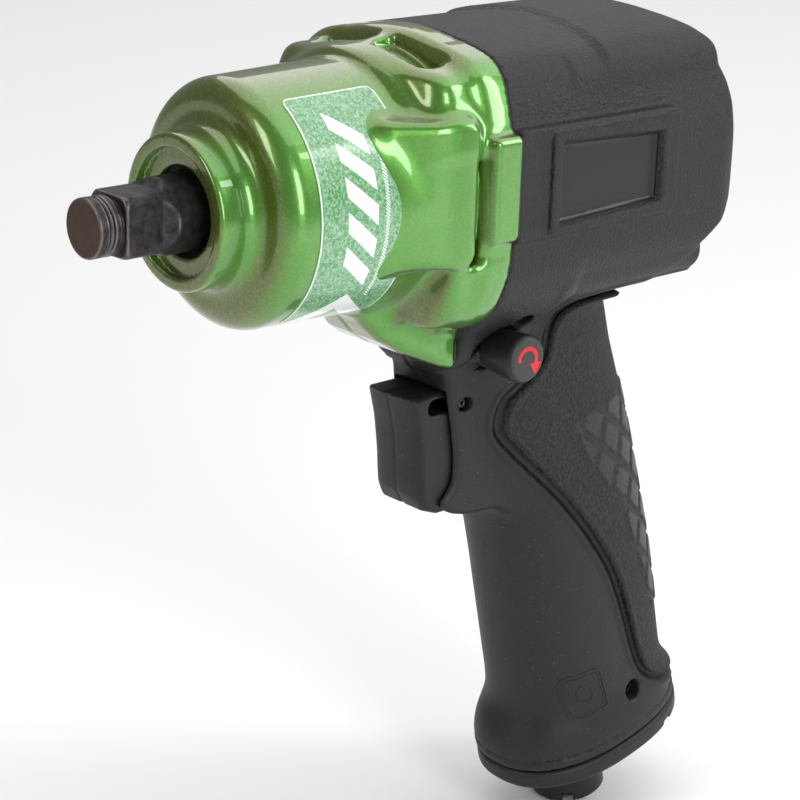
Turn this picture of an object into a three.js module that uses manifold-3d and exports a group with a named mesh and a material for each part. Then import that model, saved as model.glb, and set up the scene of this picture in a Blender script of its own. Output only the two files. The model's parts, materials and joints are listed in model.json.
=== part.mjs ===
// Pneumatic impact wrench with a half-inch square drive, in millimetres, +Z up.
// The origin is the centre of the anvil's tip. The drive axis is Y and the anvil points to -Y.
// +X is the tool's left side. The handle hangs below the motor and leans rearwards.
import * as THREE from 'three';
import { mergeVertices } from 'three/addons/utils/BufferGeometryUtils.js';
import Module from 'manifold-3d';

const wasm = await Module();
wasm.setup();

// Gaps between pieces
const seat = 0.1;
const run = 0.3;

// Facets round a turned piece, a drilled hole and the handle
const facets = 24;
const holeFacets = 10;
const handleFacets = 24;

// Drive end: a half-inch square behind a round pilot
const squareAcross = 12.7;
const squareCornerRadius = 8.1;
const squareLength = 10;
const pilotRadius = 5.8;
const pilotLength = 6;
const shankShow = 5.7;
const journalRadius = 9.2;

// Nose of the hammer case
const noseWall = 3.6;
const noseLength = 9;
const recessDepth = 2;
const sealWall = 2.9;
const sealLength = 3.6;
const bushingWall = 3;
const bushingLength = 15;

// Twin hammer mechanism
const cageRadius = 22.6;
const cagePlate = 4;
const cageSocketPlate = 8.8;
const hammerLength = 14;
const hammerRadius = 21.5;
const hammerFlat = 16.4;
const hammerBore = 13.3;
const hammerRelief = 14.6;
const jawRadius = 13;
const jawHalfAngle = 16;
const strutHalfWidth = 10;
const strutInner = 18.7;
const pinRadius = 2.2;
const pinCircle = 17.6;
const hammerRock = 4;
const washerThickness = 1;

// Motor
const cylinderRadius = 27;
const cylinderLength = 44;
const cylinderBore = 22.6;
const cylinderOffset = 1.6;
const rotorRadius = 20.3;
const shaftRadius = 6.2;
const splineRoot = 5.2;
const endPlateLength = 7.5;
const rearPlateLength = 6.5;
const bearingRadius = 13;
const bearingLength = 5.6;
const vaneCount = 6;
const vaneThickness = 2.2;
const vaneDepth = 7.5;
const dowelRadius = 1.2;

// Hammer case and motor housing
const caseWall = 3.4;
const caseRearWall = 4.4;
const barrelTaper = 1.6;
const gasketThickness = 0.5;
const topWall = 5.2;
const sideWall = 4.3;
const shoulderDrop = 1.1;
const bandProud = 2.7;
const bandTop = 13.6;
const bandBottom = -8.2;
const chinHalfWidth = 16.8;
const chinDrop = 43;
const screwRadius = 2.5;
const screwAngle = 44;
const screwClearOfBore = 1.8;
const bossRadius = 5.7;
const screwHeadRadius = 4.2;
const screwHeadLength = 5;
const screwThread = 10;
const rearWall = 14.4;
const labelLength = 23.4;
const labelToPad = 0.6;
const labelThickness = 0.3;
const labelHalfAngle = 62;

// Trigger and reverse button
const triggerWidth = 16.4;
const triggerTravel = 6.5;
const triggerTop = -50.5;
const triggerBottom = -80.6;
const blockBottom = -83;
const cheekHalfWidth = 9.9;
const rollPinRadius = 1.25;
const rodRadius = 1.6;
const rodHeight = -63;
const bushRadius = 4;
const bushLength = 8;
const reverseTravel = 10;
const reverseHeight = -38.8;
const reverseBehindParting = 10.6;
const buttonRadius = 5.65;
const buttonReach = 28;
const buttonLength = 11;
const spoolRadius = 4.6;
const spoolBore = 6;
const sleeveHalfLength = 6.2;
const detentBallRadius = 1.6;
const detentBore = 2;
const detentLength = 12;

// Handle, which leans rearwards towards its base
const handleLean = 12;
const handleDrop = 119.3;
const handleSetBack = 40.21;
const handleHalfWidth = 17.4;
const handleFront = 24.4;
const handleRear = 22.3;
const baseHalfWidth = 20;
const baseFront = 30.6;
const baseRear = 28.2;
const baseFlare = 12;
const gripThickness = 1.2;
const plateThickness = 5;
const inletRadius = 9.7;
const inletBore = 5.8;
const inletForward = 7;
const inletShow = 14.5;
const inletLength = 34.5;
const baseScrewRearward = 2.6;
const baseScrewHeight = 11.6;
const baseScrewRadius = 1.45;
const baseScrewHead = 2.5;
const valveBelowRod = 31.17;
const valveRadius = 6;
const valveThickness = 2;
const stemRadius = 1.5;
const stemAboveValve = 33;
const chamberRadius = 9.6;

// Places along the drive axis, from the tip rearwards
const squareFront = pilotLength;
const squareRear = squareFront + squareLength;
const noseFace = squareRear + shankShow;
const recessFloor = noseFace + recessDepth;
const sealRear = recessFloor + sealLength;
const bushingFront = sealRear + run;
const bushingRear = bushingFront + bushingLength;
const washerFront = bushingRear + seat;
const cageFront = washerFront + washerThickness + run;
const frontHammerAt = cageFront + cagePlate + run;
const rearHammerAt = frontHammerAt + hammerLength + run;
const socketPlateAt = rearHammerAt + hammerLength + run;
const cageRear = socketPlateAt + cageSocketPlate;
const caseRear = cageRear + 1.3;
const gasketFront = caseRear + seat / 2;
const housingFront = gasketFront + gasketThickness + seat / 2;
const frontPlateAt = housingFront + seat;
const cylinderAt = frontPlateAt + endPlateLength + seat;
const rearPlateAt = cylinderAt + cylinderLength + seat;
const motorEnd = rearPlateAt + rearPlateLength + gasketThickness + 3 * seat;
const housingRear = motorEnd + rearWall;

// Radii that follow from the pieces inside
const bushingOuter = journalRadius + run + bushingWall;
const noseRadius = bushingOuter + seat + noseWall;
const recessRadius = noseRadius - 2.7;
const sealOuter = squareCornerRadius + sealWall;
const caseBore = cageRadius + 0.6;
const barrelFrontRadius = caseBore + caseWall;
const barrelRearRadius = barrelFrontRadius + barrelTaper;
const motorBore = cylinderRadius + run;
const topHeight = motorBore + topWall;
const sideHalfWidth = motorBore + sideWall;
const shoulderHalfWidth = sideHalfWidth - shoulderDrop;
const bandHalfWidth = sideHalfWidth + bandProud;
const screwPitch = motorBore + screwClearOfBore + screwRadius;
const screwX = screwPitch * Math.cos(THREE.MathUtils.degToRad(screwAngle));
const screwZ = screwPitch * Math.sin(THREE.MathUtils.degToRad(screwAngle));
const padHalfWidth = shoulderHalfWidth + 1.2;
const rearBearingAt = rearPlateAt + rearPlateLength - seat - bearingLength;
const rotorFront = cylinderAt + run;
const rotorLength = cylinderLength - 2 * run;
const reverseAt = housingFront + reverseBehindParting;
const triggerFace = housingFront - 6.2;
const cheekFront = housingFront + 3.4;
const rollPinAt = cheekFront + 5.6;
const rollPinZ = triggerTop - 3.2;
const barrelFront = noseFace + noseLength + 7.6;
const labelFront = barrelFront + run;
const screwHeadAt = motorEnd + 2.4;
const dowelZ = -(cylinderRadius + cylinderBore - cylinderOffset) / 2;
const buttonBore = buttonRadius + 0.35;
const buttonBoreFrom = buttonReach - buttonLength - reverseTravel - run;
const detentAt = reverseAt + spoolRadius + run + detentBallRadius + seat;
const detentRear = reverseAt + spoolBore + detentLength;
const triggerRear = rollPinAt + 0.6;
const pocketRear = triggerRear + triggerTravel + run + 0.1;
const bushAt = pocketRear + seat;

// The handle's own frame: its base is perpendicular to its lean
const baseY = housingFront + handleSetBack + handleDrop * Math.tan(THREE.MathUtils.degToRad(handleLean));
const baseZ = -motorBore - 5.9 - handleDrop;
const leanSine = Math.sin(THREE.MathUtils.degToRad(handleLean));
const leanCosine = Math.cos(THREE.MathUtils.degToRad(handleLean));
const plateTop = -gasketThickness - 2 * seat;
const plateBottom = plateTop - plateThickness;
const inletBottom = -plateThickness - inletShow;
const inletSeat = inletBottom + inletLength;
const rodUpHandle = (rodHeight - baseZ + inletForward * leanSine) / leanCosine;
const valveHeight = rodUpHandle - valveBelowRod;
const stemTop = valveHeight + stemAboveValve;
const stemAt = baseY - inletForward * leanCosine - rodUpHandle * leanSine;

// ---------------------------------------------------------------- helpers

const axisX = new THREE.Vector3(1, 0, 0);
const axisY = new THREE.Vector3(0, 1, 0);
const axisZ = new THREE.Vector3(0, 0, 1);
// For each direction of extrusion: where the outline's own two axes and its depth point
const extrusion = {
  x: [axisY, axisZ, axisX],
  y: [axisX, axisZ, axisY],
  z: [axisX, axisY, axisZ],
};

function signedVolume(points, triangles) {
  const a = new THREE.Vector3();
  const b = new THREE.Vector3();
  const c = new THREE.Vector3();
  let volume = 0;
  for (let i = 0; i < triangles.length; i += 3) {
    a.fromArray(points, 3 * triangles[i]);
    b.fromArray(points, 3 * triangles[i + 1]);
    c.fromArray(points, 3 * triangles[i + 2]);
    volume += a.dot(b.cross(c)) / 6;
  }
  return volume;
}

// A closed three.js geometry as a solid, turned the right way out
function solid(geometry) {
  const plain = new THREE.BufferGeometry();
  const source = geometry.index ? geometry.toNonIndexed() : geometry;
  plain.setAttribute('position', source.getAttribute('position'));
  const merged = mergeVertices(plain, 1e-4);
  const points = Float32Array.from(merged.getAttribute('position').array);
  const corners = merged.index.array;
  const triangles = [];
  for (let i = 0; i < corners.length; i += 3) {
    const [a, b, c] = [corners[i], corners[i + 1], corners[i + 2]];
    if (a !== b && b !== c && c !== a) triangles.push(a, b, c);
  }
  if (signedVolume(points, triangles) < 0) triangles.reverse();
  return new wasm.Manifold(new wasm.Mesh({
    numProp: 3,
    vertProperties: points,
    triVerts: Uint32Array.from(triangles),
  }));
}

function joined(...solids) {
  return solids.reduce((sum, next) => sum.add(next));
}

function cut(body, ...tools) {
  return tools.reduce((rest, tool) => rest.subtract(tool), body);
}

// A profile of [radius, y] pairs turned about the drive axis
function turned(profile, segments = facets) {
  const points = profile.map(([radius, y]) => new THREE.Vector2(radius, y));
  return solid(new THREE.LatheGeometry(points, segments));
}

function rod(radius, from, to, segments = facets) {
  return turned([[0, from], [radius, from], [radius, to], [0, to]], segments);
}

function ring(outer, inner, from, to, segments = facets) {
  return turned([[inner, from], [outer, from], [outer, to], [inner, to], [inner, from]], segments);
}

function shapeOf(pairs) {
  return new THREE.Shape(pairs.map(([u, v]) => new THREE.Vector2(u, v)));
}

function circle(u, v, radius, segments = holeFacets) {
  const pairs = [];
  for (let i = 0; i < segments; i += 1) {
    const angle = (2 * Math.PI * i) / segments;
    pairs.push([u + radius * Math.cos(angle), v + radius * Math.sin(angle)]);
  }
  return pairs;
}

// An outline of pairs carried along x, y or z
function prism(axis, pairs, from, to) {
  const geometry = new THREE.ExtrudeGeometry(shapeOf(pairs), { depth: to - from, bevelEnabled: false });
  geometry.translate(0, 0, from);
  geometry.applyMatrix4(new THREE.Matrix4().makeBasis(...extrusion[axis]));
  return solid(geometry);
}

function box(x0, x1, y0, y1, z0, z1) {
  const geometry = new THREE.BoxGeometry(x1 - x0, y1 - y0, z1 - z0);
  geometry.translate((x0 + x1) / 2, (y0 + y1) / 2, (z0 + z1) / 2);
  return solid(geometry);
}

// A skin over rings of equal point counts, closed at both ends by fans
function loft(rings) {
  const count = rings[0].length;
  const positions = rings.flat().flatMap((point) => point.toArray());
  const index = [];
  for (let k = 0; k < rings.length - 1; k += 1) {
    for (let i = 0; i < count; i += 1) {
      const a = k * count + i;
      const b = k * count + ((i + 1) % count);
      index.push(a, b, b + count, a, b + count, a + count);
    }
  }
  for (const [first, flip] of [[0, true], [(rings.length - 1) * count, false]]) {
    const centre = new THREE.Vector3();
    for (let i = 0; i < count; i += 1) centre.add(new THREE.Vector3().fromArray(positions, 3 * (first + i)));
    positions.push(...centre.divideScalar(count).toArray());
    const middle = positions.length / 3 - 1;
    for (let i = 0; i < count; i += 1) {
      const edge = [first + i, first + ((i + 1) % count)];
      index.push(middle, ...(flip ? edge.reverse() : edge));
    }
  }
  const geometry = new THREE.BufferGeometry();
  geometry.setAttribute('position', new THREE.Float32BufferAttribute(positions, 3));
  geometry.setIndex(index);
  return solid(geometry);
}

// One horizontal ring of the handle: a superellipse between a front, a rear and two sides
function handleRing(height, front, rear, halfWidth, count = handleFacets) {
  const squareness = 2.3;
  const centre = (rear - front) / 2;
  const halfLength = (rear + front) / 2;
  const points = [];
  for (let i = 0; i < count; i += 1) {
    const angle = (2 * Math.PI * i) / count;
    const across = Math.sign(Math.cos(angle)) * Math.abs(Math.cos(angle)) ** (2 / squareness);
    const along = Math.sign(Math.sin(angle)) * Math.abs(Math.sin(angle)) ** (2 / squareness);
    points.push(new THREE.Vector3(halfWidth * across, centre + halfLength * along, height));
  }
  return points;
}

const group = new THREE.Group();
const handle = new THREE.Group();
handle.position.set(0, baseY, baseZ);
handle.rotation.x = THREE.MathUtils.degToRad(handleLean);
handle.updateMatrix();
group.add(handle);

// A solid drawn in the handle's own frame, put where the handle is
function inHandle(body) {
  return body.transform(handle.matrix.elements);
}

function place(name, body, look, parent = group) {
  const { vertProperties, triVerts } = body.getMesh();
  const geometry = new THREE.BufferGeometry();
  geometry.setAttribute('position', new THREE.BufferAttribute(vertProperties, 3));
  geometry.setIndex(new THREE.BufferAttribute(triVerts, 1));
  const mesh = new THREE.Mesh(geometry, new THREE.MeshStandardMaterial({ flatShading: true, ...look }));
  mesh.name = name;
  parent.add(mesh);
}

const looks = {
  greenPaint: { color: 0x4c9a3a, roughness: 0.22, metalness: 0.5 },
  housingPlastic: { color: 0x2c2c2e, roughness: 0.55, metalness: 0 },
  gripRubber: { color: 0x333335, roughness: 0.75, metalness: 0 },
  smoothPlastic: { color: 0x1d1d1f, roughness: 0.4, metalness: 0 },
  darkSteel: { color: 0x57504f, roughness: 0.4, metalness: 0.9 },
  brightSteel: { color: 0xb5b6b8, roughness: 0.3, metalness: 1 },
  castSteel: { color: 0x8a8a8c, roughness: 0.5, metalness: 0.9 },
  bronze: { color: 0xa97b3c, roughness: 0.4, metalness: 1 },
  rubber: { color: 0x151515, roughness: 0.8, metalness: 0 },
  vane: { color: 0x6b4a2c, roughness: 0.7, metalness: 0 },
  paper: { color: 0x7d7a70, roughness: 0.9, metalness: 0 },
  label: { color: 0xbfe0bd, roughness: 0.3, metalness: 0 },
  felt: { color: 0xb9b3a4, roughness: 1, metalness: 0 },
};

// ---------------------------------------------------------------- outlines

function arc(u, v, radius, fromDegrees, toDegrees, steps) {
  const pairs = [];
  for (let i = 0; i <= steps; i += 1) {
    const angle = THREE.MathUtils.degToRad(fromDegrees + ((toDegrees - fromDegrees) * i) / steps);
    pairs.push([u + radius * Math.cos(angle), v + radius * Math.sin(angle)]);
  }
  return pairs;
}

function mirrored(half) {
  const other = half.map(([u, v]) => [-u, v]).reverse();
  return [...half, ...other].filter(([u, v], i, all) => {
    const [pu, pv] = all[(i + all.length - 1) % all.length];
    return Math.hypot(u - pu, v - pv) > 1e-6;
  });
}

// The motor body seen from behind: crowned top, screw bosses at its corners and a band at each side
function upperOutline(bottom) {
  return [
    [0, topHeight],
    [0.4 * topHeight, topHeight - 1],
    ...arc(screwX, screwZ, bossRadius, 72, 6, 5),
    [shoulderHalfWidth, bandTop + 0.6],
    [bandHalfWidth - 1, bandTop - 1],
    [bandHalfWidth, (bandTop + bandBottom) / 2],
    [bandHalfWidth - 0.5, bandBottom + 1],
    [sideHalfWidth, bandBottom - 2],
    ...arc(screwX, -screwZ, bossRadius, 6, -46, 4),
    ...bottom,
  ];
}

function caseOutline() {
  return mirrored(upperOutline([
    [chinHalfWidth, -chinDrop + 2.4],
    [chinHalfWidth - 3, -chinDrop],
    [0, -chinDrop - 0.4],
  ]));
}

function bodyOutline() {
  const floor = -motorBore - 5.4;
  return mirrored(upperOutline([[chinHalfWidth, floor + 1], [0, floor - 0.8]]));
}

const screwPlaces = [[screwX, screwZ], [-screwX, screwZ], [-screwX, -screwZ], [screwX, -screwZ]];

function screwHole(x, z, from, to, radius = screwRadius) {
  return prism('y', circle(x, z, radius + run), from, to);
}

// ---------------------------------------------------------------- hammer case

function barrelRadiusAt(y) {
  const share = (y - barrelFront) / (caseRear - barrelFront);
  return barrelFrontRadius + barrelTaper * share;
}

// The case deepens towards its rear to meet the trigger block
function makeChin() {
  const side = prism('x', [
    [caseRear - 22, -barrelFrontRadius - 1],
    [caseRear - 18.6, -barrelFrontRadius - 5],
    [caseRear - 16, -barrelFrontRadius - 7.6],
    [caseRear - 11, -barrelFrontRadius - 10.8],
    [caseRear - 3, -chinDrop + 1.6],
    [caseRear, -chinDrop],
    [caseRear, -barrelFrontRadius + 6],
    [caseRear - 22, -barrelFrontRadius + 6],
  ], -chinHalfWidth, chinHalfWidth);
  const plan = prism('z', mirrored([
    [7, caseRear - 23],
    [10.5, caseRear - 15],
    [chinHalfWidth - 1.5, caseRear - 8],
    [chinHalfWidth - 1.5, caseRear + 1],
  ]), -60, 0);
  return side.intersect(plan);
}

function makeHammerCase() {
  const outside = turned([
    [0, noseFace + 1],
    [recessRadius, noseFace],
    [noseRadius - 1, noseFace],
    [noseRadius, noseFace + 1.2],
    [noseRadius + 0.3, noseFace + noseLength],
    [noseRadius + 2, noseFace + noseLength + 1.6],
    [barrelFrontRadius - 5, noseFace + noseLength + 2.4],
    [barrelFrontRadius - 1.8, barrelFront - 3.2],
    [barrelFrontRadius, barrelFront],
    [barrelRearRadius, caseRear],
    [0, caseRear],
  ]);
  const flange = prism('y', caseOutline(), caseRear - 7.6, caseRear);
  const archFront = caseRear - 20;
  const archRear = caseRear - 1;
  const arch = cut(
    turned([[0, archFront], [topHeight - 3.2, archFront], [topHeight - 0.4, archRear], [0, archRear]]),
    box(-60, 60, 0, caseRear, -60, bandTop),
  );
  const padFront = labelFront + labelLength + labelToPad;
  const padBottom = bandBottom - 4;
  const pad = prism('z', [
    [barrelFrontRadius - 2, padFront],
    [padHalfWidth - 0.8, padFront + 1.4],
    [padHalfWidth, caseRear - 11],
    [shoulderHalfWidth - 1.6, caseRear - 7.4],
    [0, caseRear - 7.4],
    [0, padFront],
  ], padBottom, bandTop + 5);
  const otherPad = pad.mirror([1, 0, 0]);
  const chin = makeChin();
  const bossSize = bossRadius - 0.4;
  const bosses = screwPlaces.map(([x, z]) => prism('y', circle(x, z, bossSize), caseRear - 13, archRear));
  const pocket = cut(
    ring(topHeight + 5, topHeight - 4.4, caseRear - 13.4, caseRear - 9.4),
    box(-60, 60, 0, caseRear, -60, 0.74 * topHeight),
    box(-0.8, 0.8, 0, caseRear, 0, 60),
  );
  const inside = [
    ring(recessRadius, 0, noseFace - 2, recessFloor),
    rod(sealOuter + seat, recessFloor - 1, sealRear + seat),
    rod(journalRadius + 1.4, sealRear - 1, bushingFront + 1),
    rod(bushingOuter + seat, bushingFront - seat, bushingRear + seat),
    rod(caseBore, bushingRear, caseRear + 1),
    ...screwPlaces.map(([x, z]) => screwHole(x, z, caseRear - screwThread - run, caseRear + 1)),
  ];
  return cut(joined(outside, flange, arch, pad, otherPad, chin, ...bosses), pocket, ...inside);
}

function makeGasket() {
  const plate = prism('y', caseOutline(), gasketFront, gasketFront + gasketThickness);
  const holes = screwPlaces.map(([x, z]) => screwHole(x, z, 0, housingFront + 9));
  return cut(plate, rod(motorBore - 1.5, 0, housingFront + 9), ...holes);
}

function makeLabel() {
  const front = labelFront;
  const rear = front + labelLength;
  const inner = (y) => barrelRadiusAt(y) + seat;
  const skin = turned([
    [inner(front), front],
    [inner(front) + labelThickness, front],
    [inner(rear) + labelThickness, rear],
    [inner(rear), rear],
    [inner(front), front],
  ]);
  const reach = 60;
  const spread = THREE.MathUtils.degToRad(labelHalfAngle);
  const wedge = prism('y', [
    [0, 0],
    [reach * Math.cos(spread), -reach * Math.sin(spread)],
    [2 * reach, 0],
    [reach * Math.cos(spread), reach * Math.sin(spread)],
  ], front - 1, rear + 1);
  return skin.intersect(wedge);
}

// ---------------------------------------------------------------- anvil and hammers

function jaw(centreDegrees, from, to) {
  const inner = journalRadius - 1;
  const low = centreDegrees - jawHalfAngle;
  const high = centreDegrees + jawHalfAngle;
  return prism('y', [...arc(0, 0, jawRadius, low, high, 4), ...arc(0, 0, inner, high, low, 2)], from, to);
}

function makeAnvil() {
  const half = squareAcross / 2;
  const turnedBody = turned([
    [0, 0],
    [pilotRadius - 0.7, 0],
    [pilotRadius, 0.7],
    [pilotRadius, 2.2],
    [pilotRadius - 1, 2.4],
    [pilotRadius - 1, pilotLength - 2],
    [pilotRadius, pilotLength - 1.9],
    [pilotRadius, pilotLength - 0.4],
    [pilotRadius + 0.4, pilotLength],
    [squareCornerRadius - 0.6, pilotLength + 1],
    [squareCornerRadius, pilotLength + 2],
    [squareCornerRadius, sealRear + 0.6],
    [journalRadius, bushingFront],
    [journalRadius, socketPlateAt - run],
    [4, socketPlateAt - run],
    [4, socketPlateAt + 3],
    [0, socketPlateAt + 3],
  ]);
  const corner = 2 * squareCornerRadius;
  const flats = [0, 1, 2, 3].map((quarter) => {
    const slab = prism('z', [
      [half, squareFront - 8],
      [corner, squareFront - 8],
      [corner, squareRear + 1.4],
      [squareCornerRadius + 0.2, squareRear + 1.4],
      [half, squareRear - 0.8],
    ], -corner, corner);
    return slab.rotate([0, 90 * quarter, 0]);
  });
  const jaws = [
    jaw(45, frontHammerAt + run, frontHammerAt + hammerLength - run),
    jaw(225, rearHammerAt + run, rearHammerAt + hammerLength - run),
  ];
  return joined(cut(turnedBody, ...flats), ...jaws);
}

function makeRetainingRing() {
  const from = 2.7;
  const full = ring(pilotRadius + 0.15, pilotRadius - 0.7, from, from + 0.9);
  return cut(full, box(-0.8, 0.8, 0, pilotLength, -pilotRadius - 2, 0));
}

function hammerSection(pinSide) {
  const outer = [];
  for (let i = 0; i < 48; i += 1) {
    const angle = (2 * Math.PI * i) / 48;
    const z = THREE.MathUtils.clamp(hammerRadius * Math.sin(angle), -hammerFlat, hammerFlat);
    outer.push([hammerRadius * Math.cos(angle), z]);
  }
  const bore = [];
  for (let i = 0; i < 36; i += 1) {
    const degrees = 10 * i + 5;
    const offSquare = Math.abs(((degrees + 45) % 90) - 45);
    const radius = offSquare <= 20 ? hammerBore : hammerRelief;
    const angle = THREE.MathUtils.degToRad(degrees);
    bore.push([radius * Math.cos(angle), radius * Math.sin(angle)]);
  }
  const swing = 2 * pinCircle * Math.sin(THREE.MathUtils.degToRad(hammerRock));
  const slot = [
    ...arc(-pinSide * pinCircle, swing, pinRadius + 0.5, 0, 180, 8),
    ...arc(-pinSide * pinCircle, -swing, pinRadius + 0.5, 180, 360, 8),
  ];
  return { outer, bore, slot, hole: circle(pinSide * pinCircle, 0, pinRadius + run) };
}

function makeHammer(pinSide, from) {
  const section = hammerSection(pinSide);
  const to = from + hammerLength;
  const outlines = [section.bore, section.slot, section.hole];
  const tools = outlines.map((pairs) => prism('y', pairs, from - 1, to + 1));
  return cut(prism('y', section.outer, from, to), ...tools);
}

function splineOutline(clearance) {
  const pairs = [];
  const teeth = 6;
  for (let i = 0; i < 4 * teeth; i += 1) {
    const angle = (2 * Math.PI * (i + 0.5)) / (4 * teeth);
    const radius = (i % 4 < 2 ? shaftRadius : splineRoot) + clearance;
    pairs.push([radius * Math.cos(angle), radius * Math.sin(angle)]);
  }
  return pairs;
}

function makeCage() {
  const frontPlate = ring(cageRadius, journalRadius + run, cageFront, cageFront + cagePlate);
  const rearPlate = ring(cageRadius, 4 + run, socketPlateAt, cageRear);
  const struts = cut(
    rod(cageRadius, cageFront + 1, socketPlateAt + 1),
    box(-60, 60, 0, 200, -strutInner, strutInner),
    box(strutHalfWidth, 60, 0, 200, -60, 60),
    box(-60, -strutHalfWidth, 0, 200, -60, 60),
  );
  const socket = prism('y', splineOutline(run), socketPlateAt + 2.6, cageRear + 1);
  const pinHoles = [1, -1].map((side) => {
    return prism('y', circle(side * pinCircle, 0, pinRadius + seat), cageFront - 1, cageRear - 3);
  });
  return cut(joined(frontPlate, rearPlate, struts), socket, ...pinHoles);
}

function makeWasher() {
  return ring(15, journalRadius + run, washerFront, washerFront + washerThickness);
}

function makeHammerPin(side) {
  return prism('y', circle(side * pinCircle, 0, pinRadius), cageFront + 0.3, cageRear - 3 - run);
}

// ---------------------------------------------------------------- motor

function makeFrontEndPlate() {
  const to = frontPlateAt + endPlateLength;
  return cut(
    rod(cylinderRadius, frontPlateAt, to),
    rod(bearingRadius + seat, frontPlateAt - 1, frontPlateAt + bearingLength + 2 * seat),
    rod(shaftRadius + 1.4, frontPlateAt, to + 1),
    dowelHole(),
  );
}

function makeRearEndPlate() {
  const to = rearPlateAt + rearPlateLength;
  return cut(
    rod(cylinderRadius, rearPlateAt, to),
    rod(bearingRadius + seat, to - bearingLength - 2 * seat, to + 1),
    rod(shaftRadius + 1.4, rearPlateAt - 1, to),
    dowelHole(),
  );
}

function dowelHole() {
  const to = rearPlateAt + rearPlateLength - 2;
  return prism('y', circle(0, dowelZ, dowelRadius + seat), frontPlateAt + 2, to);
}

function makeDowel() {
  return prism('y', circle(0, dowelZ, dowelRadius), frontPlateAt + 2.4, rearPlateAt + rearPlateLength - 2.4);
}

function makeCylinder() {
  const to = cylinderAt + cylinderLength;
  const bore = prism('y', circle(0, cylinderOffset, cylinderBore, facets), cylinderAt - 1, to + 1);
  const exhaustPorts = [0.25, 0.5, 0.75].map((share) => {
    const y = cylinderAt + share * cylinderLength;
    return prism('x', circle(y, 0, 2.2), 0, cylinderRadius + 5);
  });
  return cut(rod(cylinderRadius, cylinderAt, to), bore, dowelHole(), ...exhaustPorts);
}

function vaneSlot(index, clearance) {
  const half = vaneThickness / 2 + clearance;
  const inner = rotorRadius - vaneDepth - clearance;
  const outer = clearance > 0 ? rotorRadius + 3 : rotorRadius - 0.1;
  const slot = box(-half, half, rotorFront - clearance, rotorFront + rotorLength + clearance, inner, outer);
  return slot.rotate([0, (360 * index) / vaneCount, 0]);
}

function makeRotor() {
  const splineFront = socketPlateAt + 3.4;
  const shaftFront = cageRear + 0.4;
  const rearEnd = rearPlateAt + rearPlateLength - 0.4;
  const bodyRear = rotorFront + rotorLength;
  const body = turned([
    [0, shaftFront],
    [shaftRadius, shaftFront],
    [shaftRadius, rotorFront],
    [rotorRadius, rotorFront],
    [rotorRadius, bodyRear],
    [shaftRadius, bodyRear],
    [shaftRadius, rearEnd],
    [0, rearEnd],
  ]);
  const spline = prism('y', splineOutline(0), splineFront, shaftFront + 0.1);
  const slots = Array.from({ length: vaneCount }, (_, i) => vaneSlot(i, run / 2));
  return cut(joined(body, spline), ...slots);
}

function makeBearing(from, outsideAt) {
  const seam = ring(bearingRadius - 2.2, shaftRadius + 2.4, outsideAt - 0.5, outsideAt + 0.5);
  return cut(ring(bearingRadius, shaftRadius + run, from, from + bearingLength), seam);
}

function makeRearGasket() {
  const rear = motorEnd - seat;
  return ring(cylinderRadius, bearingRadius + 1, rear - gasketThickness, rear);
}

// ---------------------------------------------------------------- housing and handle

// The handle from base to motor, grown outwards by a distance
function handleLoft(grow = 0) {
  const section = (height, front, rear, halfWidth) => {
    return handleRing(height, front + grow, rear + grow, halfWidth + grow);
  };
  return inHandle(loft([
    section(0, baseFront, baseRear, baseHalfWidth),
    section(0.25 * baseFlare, baseFront, baseRear - 0.9, baseHalfWidth - 0.2),
    section(0.5 * baseFlare, baseFront - 0.3, baseRear - 1.8, baseHalfWidth - 0.5),
    section(0.75 * baseFlare, baseFront - 1.8, baseRear - 3, baseHalfWidth - 1.1),
    section(baseFlare, handleFront + 1, handleRear + 0.6, handleHalfWidth + 0.7),
    section(1.5 * baseFlare, handleFront - 0.2, handleRear, handleHalfWidth + 0.3),
    section(46, handleFront, handleRear - 0.6, handleHalfWidth),
    section(66, handleFront + 0.3, handleRear - 2.6, handleHalfWidth + 0.2),
    section(80, handleFront + 2, handleRear - 4, handleHalfWidth + 0.2),
    section(92, handleFront + 6, handleRear - 5.2, handleHalfWidth),
    section(106, handleFront + 11, handleRear - 7.2, handleHalfWidth - 0.6),
    section(handleDrop + 6, handleFront + 14, handleRear + 6, handleHalfWidth - 0.8),
  ]));
}

// The rubber covers the handle's rear and sides inside this side outline, given in [y, z]
function gripArea() {
  const y = (distance) => housingFront + distance;
  return [
    [y(60), -motorBore - 6.6],
    [y(31), -motorBore - 6.6],
    [y(28.5), -42],
    [y(21), -49.5],
    [y(17.3), -55],
    [y(17.5), -61],
    [y(21), -67],
    [y(26), -71.5],
    [y(38.5), -84],
    [y(53), -102],
    [y(58), -112],
    [y(62.5), -123],
    [y(68), -136],
    [y(76), -141.5],
    [y(95), -141.5],
    [y(95), -motorBore - 6.6],
  ];
}

function makeGrip() {
  const skin = cut(handleLoft(run + gripThickness), handleLoft(run));
  return skin.intersect(prism('x', gripArea(), -60, 60));
}

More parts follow.
